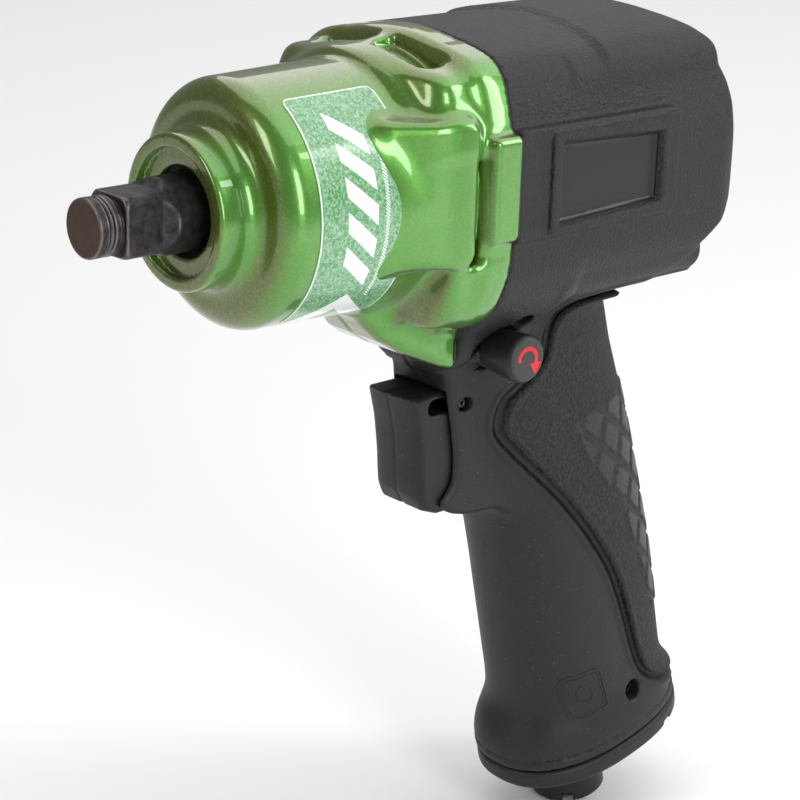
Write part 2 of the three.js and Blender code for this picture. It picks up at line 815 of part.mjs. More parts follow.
function motorBody() {
  const edge = 3;
  const rearEdge = housingRear - 14;
  const along = prism('y', bodyOutline(), housingFront, housingRear);
  const side = prism('x', [
    [housingFront, 60],
    [rearEdge, 60],
    [rearEdge, topHeight],
    [rearEdge + 4.6, 26.5],
    [rearEdge + 7.4, 22.5],
    [rearEdge + 10.3, 17.8],
    [rearEdge + 12.2, 13],
    [rearEdge + 13.6, 7],
    [housingRear, -2],
    [housingRear - 0.8, -9.5],
    [housingRear - 2.3, -15],
    [housingRear - 5.4, -21.5],
    [housingRear - 11, -25],
    [housingRear - 12, -60],
    [housingFront, -60],
  ], -60, 60);
  const plan = prism('z', [
    [-bandHalfWidth - 1, housingFront],
    [bandHalfWidth + 1, housingFront],
    [bandHalfWidth + 1, housingRear - 3 * edge],
    [bandHalfWidth - edge, housingRear - edge / 2],
    [bandHalfWidth - 4 * edge, housingRear],
    [-bandHalfWidth + 4 * edge, housingRear],
    [-bandHalfWidth + edge, housingRear - edge / 2],
    [-bandHalfWidth - 1, housingRear - 3 * edge],
  ], -60, 60);
  const bossRear = screwHeadAt + screwHeadLength + 0.4;
  const bosses = screwPlaces.map(([x, z]) => prism('y', circle(x, z, bossRadius), housingFront, bossRear));
  return joined(along.intersect(side).intersect(plan), ...bosses);
}

function triggerBlock() {
  return prism('x', [
    [housingFront, -motorBore],
    [housingFront, -chinDrop],
    [cheekFront, -chinDrop - 0.8],
    [cheekFront, triggerTop + 1],
    [cheekFront + 1.8, -58],
    [cheekFront + 3.2, -68],
    [cheekFront + 2.4, -74.6],
    [cheekFront - 0.6, blockBottom + 4.6],
    [cheekFront + 3.8, blockBottom + 1.6],
    [cheekFront + 10, blockBottom + 0.4],
    [cheekFront + 17, blockBottom],
    [cheekFront + 30, blockBottom],
    [cheekFront + 30, -motorBore],
  ], -cheekHalfWidth, cheekHalfWidth);
}

function neckFront() {
  return prism('y', mirrored([
    [0, -motorBore + 2],
    [chinHalfWidth + 2, -motorBore + 2],
    [chinHalfWidth, -chinDrop + 2.4],
    [chinHalfWidth - 3, -chinDrop],
    [0, -chinDrop - 0.4],
  ]), housingFront, reverseAt + 4);
}

function sideRecess(side) {
  const wall = side * (bandHalfWidth - 1.5);
  const out = side * (bandHalfWidth + 5);
  const [x0, x1] = [Math.min(wall, out), Math.max(wall, out)];
  const window = box(x0, x1, housingFront + 12.7, housingFront + 44.9, bandBottom + 1.5, bandTop - 3.1);
  const frontEdge = box(x0, x1, housingFront - 1, housingFront + 8.2, bandBottom - 3, bandTop + 2);
  const rearEdge = box(x0, x1, housingFront + 46.6, housingFront + 53, bandBottom - 3, bandTop + 2);
  return joined(window, frontEdge, rearEdge);
}

function makeHousing() {
  const outside = joined(motorBody(), handleLoft(), triggerBlock(), neckFront());
  const pocketHalf = triggerWidth / 2 + run;
  const inside = [
    rod(motorBore, housingFront - 20, motorEnd),
    rod(bearingRadius, motorEnd - 1, motorEnd + 3),
    sideRecess(1),
    sideRecess(-1),
    ...screwPlaces.map(([x, z]) => screwHole(x, z, housingFront - 1, screwHeadAt + 1)),
    ...screwPlaces.map(([x, z]) => screwHole(x, z, screwHeadAt, housingRear + 9, screwHeadRadius)),
    box(-pocketHalf, pocketHalf, housingFront - 8, pocketRear, triggerBottom - run - 0.4, triggerTop + run),
    prism('x', circle(reverseAt, reverseHeight, spoolBore, facets), -60, 60),
    prism('x', circle(reverseAt, reverseHeight, buttonBore, facets), buttonBoreFrom, 60),
    prism('x', circle(reverseAt, reverseHeight, buttonBore, facets), -60, -buttonBoreFrom),
    prism('x', circle(rollPinAt, rollPinZ, rollPinRadius + seat), -60, 60),
    prism('y', circle(0, rodHeight, rodRadius + run), pocketRear - 1, stemAt),
    prism('y', circle(0, rodHeight, bushRadius + seat), pocketRear - 1, bushAt + bushLength + seat),
    prism('y', circle(0, reverseHeight, detentBore), reverseAt, detentRear + run),
    inHandle(prism('z', circle(0, -inletForward, inletRadius + seat, facets), -1, inletSeat + seat)),
    inHandle(prism('z', circle(0, -inletForward, chamberRadius, facets), inletSeat - 1, stemTop + 4)),
    inHandle(box(-5, 5, -inletForward - 5, chamberRadius - inletForward + 2.6, valveHeight + 8, stemTop + 4)),
    airPassage(),
    exhaustPassage(),
    baseScrewHole(),
  ];
  return cut(outside, ...inside);
}

// From the valve chamber up to the reverse valve, and from there to the cylinder
function airPassage() {
  const up = prism('z', circle(reverseAt + 4, 0, 2.4).map(([y, x]) => [x, y]), reverseHeight, -motorBore + 3);
  const back = prism('y', circle(0, reverseHeight - 8.6, 2), reverseAt + 2, stemAt - 3);
  const down = prism('z', circle(0, reverseAt + 3.4, 2), reverseHeight - 8.6, reverseHeight);
  const drop = prism('z', circle(0, stemAt - 3.4, 2), -60, reverseHeight - 7);
  return joined(up, back, down, drop);
}

// From the motor down the rear of the handle to the base
function exhaustPassage() {
  const reach = handleDrop + 10;
  const duct = [[-7, 12.2], [7, 12.2], [5.4, 17.2], [-5.4, 17.2]];
  return inHandle(prism('z', duct, -1, reach)).intersect(box(-60, 60, 0, 300, -300, -motorBore + 6));
}

function baseScrewHole() {
  const bored = (radius, from) => prism('x', circle(baseScrewRearward, baseScrewHeight, radius), from, 60);
  return inHandle(joined(bored(baseScrewRadius + 0.15, 0), bored(baseScrewHead + 0.2, baseHalfWidth - 6.4)));
}

function makeBasePlate() {
  const edge = 0.9;
  const body = loft([
    handleRing(plateBottom, baseFront - edge - 0.6, baseRear - edge - 2, baseHalfWidth - edge - 0.6),
    handleRing(plateBottom + edge, baseFront - 0.4, baseRear - 0.9, baseHalfWidth - 0.4),
    handleRing(plateTop, baseFront, baseRear, baseHalfWidth),
  ]);
  const foot = loft([
    handleRing(plateBottom - 1.2, -16, baseRear - 5, baseHalfWidth - 8),
    handleRing(plateBottom + 1, -13, baseRear - 3.4, baseHalfWidth - 6),
  ]);
  const slots = [-8, -4, 0, 4, 8].map((x) => box(x - 1, x + 1, 13.4, 21.6, plateBottom - 4, plateTop + 1));
  const inletHole = circle(0, -inletForward, inletRadius + run, facets);
  const inlet = prism('z', inletHole, plateBottom - 4, plateTop + 1);
  return cut(joined(body, foot), inlet, ...slots);
}

function makeBaseGasket() {
  const plate = loft([
    handleRing(-gasketThickness - seat, baseFront - 1.4, baseRear - 1.4, baseHalfWidth - 1.4),
    handleRing(-seat, baseFront - 1.4, baseRear - 1.4, baseHalfWidth - 1.4),
  ]);
  const opening = loft([
    handleRing(-4, -11.4, baseRear - 4.4, baseHalfWidth - 7),
    handleRing(4, -11.4, baseRear - 4.4, baseHalfWidth - 7),
  ]);
  return cut(plate, prism('z', circle(0, -inletForward, inletRadius + run, facets), -4, 4), opening);
}

// Threaded sleeve that the air line screws into, with a hexagon socket behind its thread
function makeInletBushing() {
  const barrel = prism('z', circle(0, -inletForward, inletRadius, facets), inletBottom, inletSeat);
  const bore = prism('z', circle(0, -inletForward, inletBore), inletBottom - 1, inletSeat + 1);
  const notches = [0, 1, 2, 3].map((quarter) => {
    const notch = box(inletRadius - 2, inletRadius + 2, -1.2, 1.2, inletBottom - 1, inletBottom + 2.4);
    return notch.rotate([0, 0, 90 * quarter + 45]).translate([0, -inletForward, 0]);
  });
  return cut(barrel, bore, ...notches);
}

function makeInletScreen() {
  const from = inletSeat - 6;
  const cup = prism('z', circle(0, -inletForward, inletBore - run), from, from + 5);
  return cut(cup, prism('z', circle(0, -inletForward, inletBore - 1.4), from - 1, from + 4));
}

function makeMuffler() {
  const pad = [[-6.6, 12.6], [6.6, 12.6], [5.2, 16.8], [-5.2, 16.8]];
  return prism('z', pad, 0.4, 24);
}

// ---------------------------------------------------------------- trigger group

function makeTrigger() {
  const y = (distance) => triggerFace + distance;
  const rear = triggerRear;
  const side = prism('x', [
    [y(0), triggerTop],
    [y(1.8), triggerTop - 6],
    [y(3.1), triggerTop - 13],
    [y(3.4), triggerTop - 19],
    [y(3.9), triggerTop - 25],
    [y(5.8), triggerTop - 28.6],
    [y(9.4), triggerBottom],
    [rear, triggerBottom],
    [rear, triggerTop],
  ], -triggerWidth / 2, triggerWidth / 2);
  const plan = prism('z', [
    [-2, triggerFace - 1],
    [2, triggerFace - 1],
    [triggerWidth / 2, triggerFace + 2.4],
    [triggerWidth / 2, rear + 1],
    [-triggerWidth / 2, rear + 1],
    [-triggerWidth / 2, triggerFace + 2.4],
  ], triggerBottom - 1, triggerTop + 1);
  const slotHalf = rollPinRadius + 0.6;
  const slotFront = rollPinAt - triggerTravel - rollPinRadius - run;
  const slot = joined(
    box(-30, 30, slotFront, rear + 1, rollPinZ - slotHalf, rollPinZ + slotHalf),
    prism('x', circle(slotFront, rollPinZ, slotHalf), -30, 30),
  );
  const socket = prism('y', circle(0, rodHeight, rodRadius + seat), rear - 5, rear + 1);
  return cut(side.intersect(plan), slot, socket);
}

function makeTriggerRod() {
  return prism('y', circle(0, rodHeight, rodRadius), rollPinAt - 4, stemAt - stemRadius - run - 0.2);
}

function makeTriggerBush() {
  const sleeve = prism('y', circle(0, rodHeight, bushRadius), bushAt, bushAt + bushLength);
  return cut(sleeve, prism('y', circle(0, rodHeight, rodRadius + 0.15), bushAt - 1, bushAt + bushLength + 1));
}

function makeRollPin() {
  return prism('x', circle(rollPinAt, rollPinZ, rollPinRadius), -cheekHalfWidth + 0.5, cheekHalfWidth - 0.5);
}

function makeThrottleValve() {
  const underside = valveHeight - valveThickness;
  const disc = prism('z', circle(0, -inletForward, valveRadius, facets), underside, valveHeight);
  const stem = prism('z', circle(0, -inletForward, stemRadius), valveHeight - 0.5, stemTop);
  return joined(disc, stem);
}

function makeThrottleSeat() {
  const from = valveHeight + run;
  const body = prism('z', circle(0, -inletForward, chamberRadius - seat, facets), from, from + 2.4);
  return cut(body, prism('z', circle(0, -inletForward, 4.4), from - 1, from + 4));
}

// A coil spring: a round wire carried along a helix, its ends cut square
function coilSpring(radius, wire, from, to, turns) {
  class Helix extends THREE.Curve {
    getPoint(t) {
      const angle = 2 * Math.PI * turns * t;
      return new THREE.Vector3(radius * Math.cos(angle), radius * Math.sin(angle), from + (to - from) * t);
    }
  }
  const section = shapeOf(circle(0, 0, wire, 5));
  const options = { steps: 8 * turns, extrudePath: new Helix(), bevelEnabled: false };
  return solid(new THREE.ExtrudeGeometry(section, options));
}

function makeThrottleSpring() {
  const coil = coilSpring(4.4, 0.5, inletSeat + 1.2, valveHeight - valveThickness - 0.9, 7);
  return coil.translate([0, -inletForward, 0]);
}

// ---------------------------------------------------------------- reverse valve

function makeSpool() {
  const half = sleeveHalfLength;
  const inner = reverseTravel / 2;
  const length = buttonReach - buttonLength - inner;
  const land = prism('x', circle(reverseAt, reverseHeight, spoolRadius), inner - length, inner + length);
  const waist = cut(
    prism('x', circle(reverseAt, reverseHeight, spoolRadius + 1), inner - half / 2, inner + half / 2),
    prism('x', circle(reverseAt, reverseHeight, spoolRadius - 1.4), -60, 60),
  );
  return cut(land, waist);
}

// A cap on the spool's end, with a small step round its face
function makeButton(side) {
  const rim = 0.7;
  const root = side * (buttonReach - buttonLength) + (side > 0 ? seat : reverseTravel - seat);
  const face = side > 0 ? buttonReach : reverseTravel - buttonReach;
  const cap = (radius, end) => {
    const [from, to] = [Math.min(root, end), Math.max(root, end)];
    return prism('x', circle(reverseAt, reverseHeight, radius, facets), from, to);
  };
  return joined(cap(buttonRadius, face - side * rim), cap(buttonRadius - rim, face));
}

function makeReverseSleeve() {
  const wall = circle(reverseAt, reverseHeight, spoolBore - seat, facets);
  const sleeve = prism('x', wall, -sleeveHalfLength, sleeveHalfLength);
  const bore = prism('x', circle(reverseAt, reverseHeight, spoolRadius + run), -30, 30);
  const port = prism('z', circle(0, reverseAt + 3.4, 1.6), reverseHeight - 9, reverseHeight + 9);
  const detentWindow = prism('y', circle(0, reverseHeight, 1.9), reverseAt, reverseAt + 9);
  return cut(sleeve, bore, port, detentWindow);
}

function makeDetentBall() {
  const ball = new THREE.IcosahedronGeometry(detentBallRadius, 1);
  ball.translate(0, detentAt, reverseHeight);
  return solid(ball);
}

function makeDetentSpring() {
  const spring = coilSpring(1.3, 0.3, detentAt + detentBallRadius + 0.5, detentRear - 0.4, 4);
  return spring.rotate([-90, 0, 0]).translate([0, 0, reverseHeight]);
}

// ---------------------------------------------------------------- fasteners

function makeCaseScrew([x, z]) {
  const shank = prism('y', circle(x, z, screwRadius), caseRear - screwThread, screwHeadAt + 1);
  const headRear = screwHeadAt + screwHeadLength;
  const head = prism('y', circle(x, z, screwHeadRadius), screwHeadAt + seat, headRear);
  const socket = prism('y', circle(x, z, 2.3, 6), headRear - 2.4, headRear + 1);
  return cut(joined(shank, head), socket);
}

function makeBaseScrew() {
  const outline = (radius, sides) => circle(baseScrewRearward, baseScrewHeight, radius, sides);
  const along = (radius, from, to, sides) => prism('x', outline(radius, sides), from, to);
  const shank = along(baseScrewRadius, inletRadius + 0.4, baseHalfWidth - 5.6);
  const head = along(baseScrewHead, baseHalfWidth - 6.2, baseHalfWidth - 4.2);
  const socket = along(1.3, baseHalfWidth - 5.2, baseHalfWidth, 6);
  return cut(joined(shank, head), socket);
}

// ---------------------------------------------------------------- assembly

place('hammer_case', makeHammerCase(), looks.greenPaint);
place('case_gasket', makeGasket(), looks.paper);
place('side_label', makeLabel(), looks.label);
place('anvil', makeAnvil(), looks.darkSteel);
place('socket_retaining_ring', makeRetainingRing(), looks.darkSteel);
place('anvil_oil_seal', ring(sealOuter, squareCornerRadius + run, recessFloor - 0.6, sealRear), looks.rubber);
place('anvil_bushing', ring(bushingOuter, journalRadius + run, bushingFront, bushingRear), looks.bronze);
place('cage_washer', makeWasher(), looks.brightSteel);
place('hammer_cage', makeCage(), looks.castSteel);
place('front_hammer', makeHammer(1, frontHammerAt), looks.castSteel);
place('rear_hammer', makeHammer(-1, rearHammerAt), looks.castSteel);
place('hammer_pin_1', makeHammerPin(1), looks.brightSteel);
place('hammer_pin_2', makeHammerPin(-1), looks.brightSteel);
place('front_end_plate', makeFrontEndPlate(), looks.castSteel);
place('front_bearing', makeBearing(frontPlateAt + seat, frontPlateAt + seat), looks.brightSteel);
place('cylinder', makeCylinder(), looks.castSteel);
place('cylinder_dowel', makeDowel(), looks.brightSteel);
place('rotor', makeRotor(), looks.castSteel);
for (let i = 0; i < vaneCount; i += 1) place(`vane_${i + 1}`, vaneSlot(i, 0), looks.vane);
place('rear_end_plate', makeRearEndPlate(), looks.castSteel);
place('rear_bearing', makeBearing(rearBearingAt, rearBearingAt + bearingLength), looks.brightSteel);
place('rear_gasket', makeRearGasket(), looks.paper);
place('motor_housing', makeHousing(), looks.housingPlastic);
place('grip_overmould', makeGrip(), looks.gripRubber);
screwPlaces.forEach((spot, i) => place(`case_screw_${i + 1}`, makeCaseScrew(spot), looks.darkSteel));
place('reverse_spool', makeSpool(), looks.brightSteel);
place('reverse_button_left', makeButton(1), looks.smoothPlastic);
place('reverse_button_right', makeButton(-1), looks.smoothPlastic);
place('reverse_sleeve', makeReverseSleeve(), looks.bronze);
place('detent_ball', makeDetentBall(), looks.brightSteel);
place('detent_spring', makeDetentSpring(), looks.brightSteel);
place('trigger', makeTrigger(), looks.smoothPlastic);
place('trigger_rod', makeTriggerRod(), looks.brightSteel);
place('trigger_bush', makeTriggerBush(), looks.bronze);
place('trigger_roll_pin', makeRollPin(), looks.brightSteel);
place('throttle_valve', makeThrottleValve(), looks.bronze, handle);
place('throttle_seat', makeThrottleSeat(), looks.rubber, handle);
place('throttle_spring', makeThrottleSpring(), looks.brightSteel, handle);
place('inlet_bushing', makeInletBushing(), looks.smoothPlastic, handle);
place('inlet_screen', makeInletScreen(), looks.brightSteel, handle);
place('exhaust_muffler', makeMuffler(), looks.felt, handle);
place('base_gasket', makeBaseGasket(), looks.rubber, handle);
place('base_plate', makeBasePlate(), looks.smoothPlastic, handle);
place('base_screw', makeBaseScrew(), looks.darkSteel, handle);

export default group;
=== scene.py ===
"""Looks of a pneumatic impact wrench, laid out as an add-on: one operator for each group of pieces.

Shapes are written in millimetres in the tool's own frame: the origin is the anvil's tip, -Y points
forward, +Z up and +X to the tool's left. The meshes are made in metres.
"""

import json

import bmesh
import bpy
import numpy as np
from mathutils import Matrix, Vector


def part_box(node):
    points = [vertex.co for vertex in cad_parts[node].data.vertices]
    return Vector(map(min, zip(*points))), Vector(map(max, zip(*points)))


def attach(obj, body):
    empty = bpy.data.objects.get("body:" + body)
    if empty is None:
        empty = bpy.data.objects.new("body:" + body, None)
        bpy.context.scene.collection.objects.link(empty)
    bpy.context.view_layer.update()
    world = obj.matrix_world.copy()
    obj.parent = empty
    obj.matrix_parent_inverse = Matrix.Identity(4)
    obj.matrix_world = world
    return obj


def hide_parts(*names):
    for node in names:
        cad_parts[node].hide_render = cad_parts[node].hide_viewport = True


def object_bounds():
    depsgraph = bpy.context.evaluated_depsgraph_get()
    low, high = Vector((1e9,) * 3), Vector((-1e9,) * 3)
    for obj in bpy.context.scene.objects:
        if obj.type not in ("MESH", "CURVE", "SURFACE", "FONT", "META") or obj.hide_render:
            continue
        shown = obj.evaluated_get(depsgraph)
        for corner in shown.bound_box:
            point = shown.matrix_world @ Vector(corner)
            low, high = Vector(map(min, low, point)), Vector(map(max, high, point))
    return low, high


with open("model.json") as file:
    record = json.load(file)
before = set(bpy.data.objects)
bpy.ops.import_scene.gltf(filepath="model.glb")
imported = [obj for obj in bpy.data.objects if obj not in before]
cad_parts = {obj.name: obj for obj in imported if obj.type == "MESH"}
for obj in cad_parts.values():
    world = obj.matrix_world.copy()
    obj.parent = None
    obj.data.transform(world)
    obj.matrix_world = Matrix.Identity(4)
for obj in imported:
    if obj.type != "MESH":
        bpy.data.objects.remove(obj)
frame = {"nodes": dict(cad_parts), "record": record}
CAD_BOX = [list(corner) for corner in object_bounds()]

bl_info = {
    "name": "Impact wrench",
    "version": (1, 0, 0),
    "blender": (4, 5, 0),
    "location": "View3D > Sidebar > Wrench",
    "description": "Builds a pistol-grip air impact wrench round its working frame",
    "category": "Object",
}

MM = 0.001
TINY = 1e-9
BEYOND = 300
SHARP_ANGLE = 35


# ---------------------------------------------------------------- places, from the frame

def low(node, axis):
    """Lowest coordinate of a frame node along an axis, in millimetres."""
    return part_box(node)[0][axis] / MM


def high(node, axis):
    """Highest coordinate of a frame node along an axis, in millimetres."""
    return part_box(node)[1][axis] / MM


NOSE = low("hammer_case", 1)
PARTING = high("hammer_case", 1)
BODY_FRONT = low("motor_housing", 1)
TOP = high("hammer_case", 2)
BAND = high("hammer_case", 0)
LABEL_FRONT = low("side_label", 1)
LABEL_REAR = high("side_label", 1)
SCREW_X = (low("case_screw_1", 0) + high("case_screw_1", 0)) / 2
SCREW_Z = (low("case_screw_1", 2) + high("case_screw_1", 2)) / 2
SCREW_REAR = high("case_screw_1", 1)
BUTTON_Y = (low("reverse_button_left", 1) + high("reverse_button_left", 1)) / 2
BUTTON_Z = (low("reverse_button_left", 2) + high("reverse_button_left", 2)) / 2
PIN_Y = (low("trigger_roll_pin", 1) + high("trigger_roll_pin", 1)) / 2
PIN_Z = (low("trigger_roll_pin", 2) + high("trigger_roll_pin", 2)) / 2
TRIGGER_FRONT = low("trigger", 1)
TRIGGER_TOP = high("trigger", 2)
TRIGGER_BOTTOM = low("trigger", 2)

# The handle leans rearwards about the middle of its base
LEAN = np.radians(12.0)
BASE_Y = BODY_FRONT + 65.568
BASE_Z = -152.5
INLET_FORWARD = 7.0
INLET_BOTTOM = -19.5
INLET_RADIUS = 9.7
PLATE_TOP = -0.7
PLATE_BOTTOM = -5.7
PLATE_HALF_WIDTH = 20
PLATE_HALF_LENGTH = 29.4
PLATE_FORWARD = 1.2
HANDLE_RISE = 130.0
HANDLE_POWER = 2.3
BASE_SCREW_ALONG = 2.6
BASE_SCREW_UP = 11.6


def in_handle(p):
    """World points seen in the handle's frame: across, rearwards and up along the handle."""
    y, z = p[:, 1] - BASE_Y, p[:, 2] - BASE_Z
    return p[:, 0], y * np.cos(LEAN) + z * np.sin(LEAN), z * np.cos(LEAN) - y * np.sin(LEAN)


def from_handle(x, along, up):
    """Handle-frame coordinates back to world points."""
    y = BASE_Y + along * np.cos(LEAN) - up * np.sin(LEAN)
    z = BASE_Z + along * np.sin(LEAN) + up * np.cos(LEAN)
    return np.stack([x, y, z], -1)


# ---------------------------------------------------------------- distance fields

def join(a, b, soft=1.0):
    """Union of two fields, its inner corner filled to a radius of about half of soft."""
    h = np.clip(soft - np.abs(a - b), 0, None)
    return np.minimum(a, b) - h * h / (4 * soft)


def common(a, b, soft=1.0):
    """Intersection of two fields with its edge eased."""
    return -join(-a, -b, soft)


def carve(a, b, soft=0.8):
    """Field a with field b taken away, the rim eased."""
    return -join(-a, b, soft)


def extrude(flat, along, start, end, edge=0.8):
    """A flat field carried from start to end along another coordinate, its end edges rounded."""
    cap = np.maximum(start - along, along - end)
    u, v = flat + edge, cap + edge
    return np.minimum(np.maximum(u, v), 0) + np.hypot(np.maximum(u, 0), np.maximum(v, 0)) - edge


def slab(u, v, u0, u1, v0, v1, corner=1.0):
    """A rectangle with rounded corners as a flat field."""
    du = np.abs(u - (u0 + u1) / 2) - (u1 - u0) / 2 + corner
    dv = np.abs(v - (v0 + v1) / 2) - (v1 - v0) / 2 + corner
    return np.minimum(np.maximum(du, dv), 0) + np.hypot(np.maximum(du, 0), np.maximum(dv, 0)) - corner


def outline(u, v, points):
    """Signed distance to a closed polygon: nearest edge, with its sign from crossings."""
    best = np.full(u.shape, 1e9)
    inside = np.zeros(u.shape, bool)
    for (a, b), (c, d) in zip(points, points[1:] + points[:1]):
        ex, ey = c - a, d - b
        wx, wy = u - a, v - b
        t = np.clip((wx * ex + wy * ey) / (ex * ex + ey * ey), 0, 1)
        best = np.minimum(best, (wx - ex * t) ** 2 + (wy - ey * t) ** 2)
        if b != d:
            inside ^= ((b > v) != (d > v)) & (u < ex * (v - b) / ey + a)
    return np.sqrt(best) * np.where(inside, -1.0, 1.0)


def eased(points, steps=5):
    """A closed Catmull-Rom curve through the points, as a finer polygon."""
    p = np.array(points, float)
    t = (np.arange(steps) / steps)[:, None, None]
    a, b, c, d = np.roll(p, 1, 0), p, np.roll(p, -1, 0), np.roll(p, -2, 0)
    q = 0.5 * (2 * b + (c - a) * t + (2 * a - 5 * b + 4 * c - d) * t**2 + (3 * b - a - 3 * c + d) * t**3)
    return [tuple(x) for x in q.transpose(1, 0, 2).reshape(-1, 2)]


def cylinder(u, v, u0, v0, radius):
    """A circle as a flat field: distance to its middle less its radius."""
    return np.hypot(u - u0, v - v0) - radius


def hexagon(u, v, half):
    """A hexagon as a flat field, half as wide across v as half says: its flats' three slopes."""
    u, v = np.abs(u), np.abs(v)
    return np.maximum(u * 0.866 + v * 0.5, v) - half


def superellipse(u, v, half_u, half_v):
    """A superellipse as a flat field: the radius less its share that reaches the outline."""
    g = ((np.abs(u) / half_u) ** HANDLE_POWER + (np.abs(v) / half_v) ** HANDLE_POWER) ** (1 / HANDLE_POWER)
    return np.hypot(u, v) * (1 - 1 / np.maximum(g, 0.05))


# ---------------------------------------------------------------- skins and surfaces

def gradient(field, p, step=0.05):
    """Slope of a field at points, by central differences."""
    g = np.empty_like(p)
    for axis in range(3):
        shift = np.zeros(3)
        shift[axis] = step
        g[:, axis] = (field(p + shift) - field(p - shift)) / (2 * step)
    return g


def sampled(field, lo, hi, cell):
    """The field on a lattice, worked out only in the blocks that its surface can pass through.

    A block counts as near where the field at its middle is less than a little over its size.
    """
    block = 6
    count = (np.ceil((hi - lo) / cell / block).astype(int) + 1) * block
    blocks = count // block
    centre = np.stack(np.meshgrid(*[np.arange(n) for n in blocks], indexing="ij"), -1).reshape(-1, 3)
    middle = lo + (centre * block + block / 2) * cell
    value = field(middle)
    near = np.abs(value) < block * cell * 1.25
    far = 9.0
    flat = np.repeat(np.where(value < 0, -far, far), block**3).reshape(-1, block**3)
    offset = np.stack(np.meshgrid(*[np.arange(block)] * 3, indexing="ij"), -1).reshape(-1, 3)
    index = (centre[near][:, None] * block + offset[None]).reshape(-1, 3)
    flat[near] = field(lo + index * cell).reshape(-1, block**3)
    grid = flat.reshape(*blocks, block, block, block).transpose(0, 3, 1, 4, 2, 5)
    return grid.reshape(*count)


def crossings(f):
    """For each lattice cell, the sum and the count of the places where its edges cross zero."""
    n = np.array(f.shape) - 1
    total = np.zeros((*n, 3))
    hits = np.zeros(tuple(n))
    corners = [(i, j, k) for i in (0, 1) for j in (0, 1) for k in (0, 1)]
    part = {c: f[c[0]:c[0] + n[0], c[1]:c[1] + n[1], c[2]:c[2] + n[2]] for c in corners}
    for c in corners:
        for axis in range(3):
            if c[axis]:
                continue
            d = tuple(1 if k == axis else c[k] for k in range(3))
            a, b = part[c], part[d]
            cross = (a < 0) != (b < 0)
            t = np.where(cross, a / np.where(cross, a - b, 1), 0)
            point = [np.where(cross, t, 0) if k == axis else cross * float(c[k]) for k in range(3)]
            total += np.stack(point, -1)
            hits += cross
    return total, hits


def edge_quads(inside, number):
    """One outward quad between the four numbered cells round each lattice edge that crosses."""
    n = number.shape
    quads = []
    for axis in range(3):
        u, v = (axis + 1) % 3, (axis + 2) % 3
        size = [n[k] if k == axis else n[k] - 1 for k in range(3)]
        start = [0 if k == axis else 1 for k in range(3)]
        at = tuple(slice(start[k], start[k] + size[k]) for k in range(3))
        up = tuple(slice(start[k] + (k == axis), start[k] + size[k] + (k == axis)) for k in range(3))
        edge = np.argwhere(inside[at] != inside[up]) + start
        leaving = inside[tuple(edge.T)]
        steps = []
        for du, dv in ((1, 1), (0, 1), (0, 0), (1, 0)):
            cell_index = edge.copy()
            cell_index[:, u] -= du
            cell_index[:, v] -= dv
            steps.append(number[tuple(cell_index.T)])
        quad = np.stack(steps, -1)
        quads.append(np.where(leaving[:, None], quad, quad[:, ::-1]))
    quads = np.concatenate(quads)
    return quads[(quads >= 0).all(1)]


def settled(field, p, cell):
    """Points slid along the field's slope onto its surface, in three short steps."""
    for _ in range(3):
        g = gradient(field, p)
        move = field(p)[:, None] * g / np.maximum((g * g).sum(1), 0.1)[:, None]
        length = np.linalg.norm(move, axis=1, keepdims=True)
        p = p - move * np.minimum(1, 0.4 * cell / np.maximum(length, TINY))
    return p


def skin(field, lo, hi, cell):
    """The zero surface of a field as vertices, quads and normals.

    One vertex stands in each lattice cell that the surface crosses, at the mean of its edge
    crossings, and is then slid along the field's slope onto the surface. Each lattice edge that
    crosses the surface gives one quad between its four cells.
    """
    lo, hi = np.array(lo, float) - cell, np.array(hi, float) + cell
    f = sampled(field, lo, hi, cell)
    total, hits = crossings(f)
    active = hits > 0
    number = np.full(active.shape, -1)
    number[active] = np.arange(active.sum())
    p = lo + (np.argwhere(active) + total[active] / hits[active][:, None]) * cell
    p = settled(field, p, cell)
    g = gradient(field, p, 0.12)
    return p, edge_quads(f < 0, number), g / np.maximum(np.linalg.norm(g, axis=1, keepdims=True), TINY)


def sharpness(field, p, reach=0.5):
    """How strongly a surface bends outwards at points: the field's Laplacian, 0 on a flat face."""
    total = -6 * field(p)
    for axis in range(3):
        shift = np.zeros(3)
        shift[axis] = reach
        total = total + field(p + shift) + field(p - shift)
    return np.clip(total / reach**2 / 2.0, 0, 1)


def sheet_faces(rows, columns, closed_rows=False, closed_columns=True):
    """Quads of a grid of points, wrapped round in either direction."""
    i = np.arange(rows if closed_rows else rows - 1)
    j = np.arange(columns if closed_columns else columns - 1)
    i, j = np.meshgrid(i, j, indexing="ij")
    k, m = (i + 1) % rows, (j + 1) % columns
    return np.stack([i * columns + j, i * columns + m, k * columns + m, k * columns + j], -1).reshape(-1, 4)


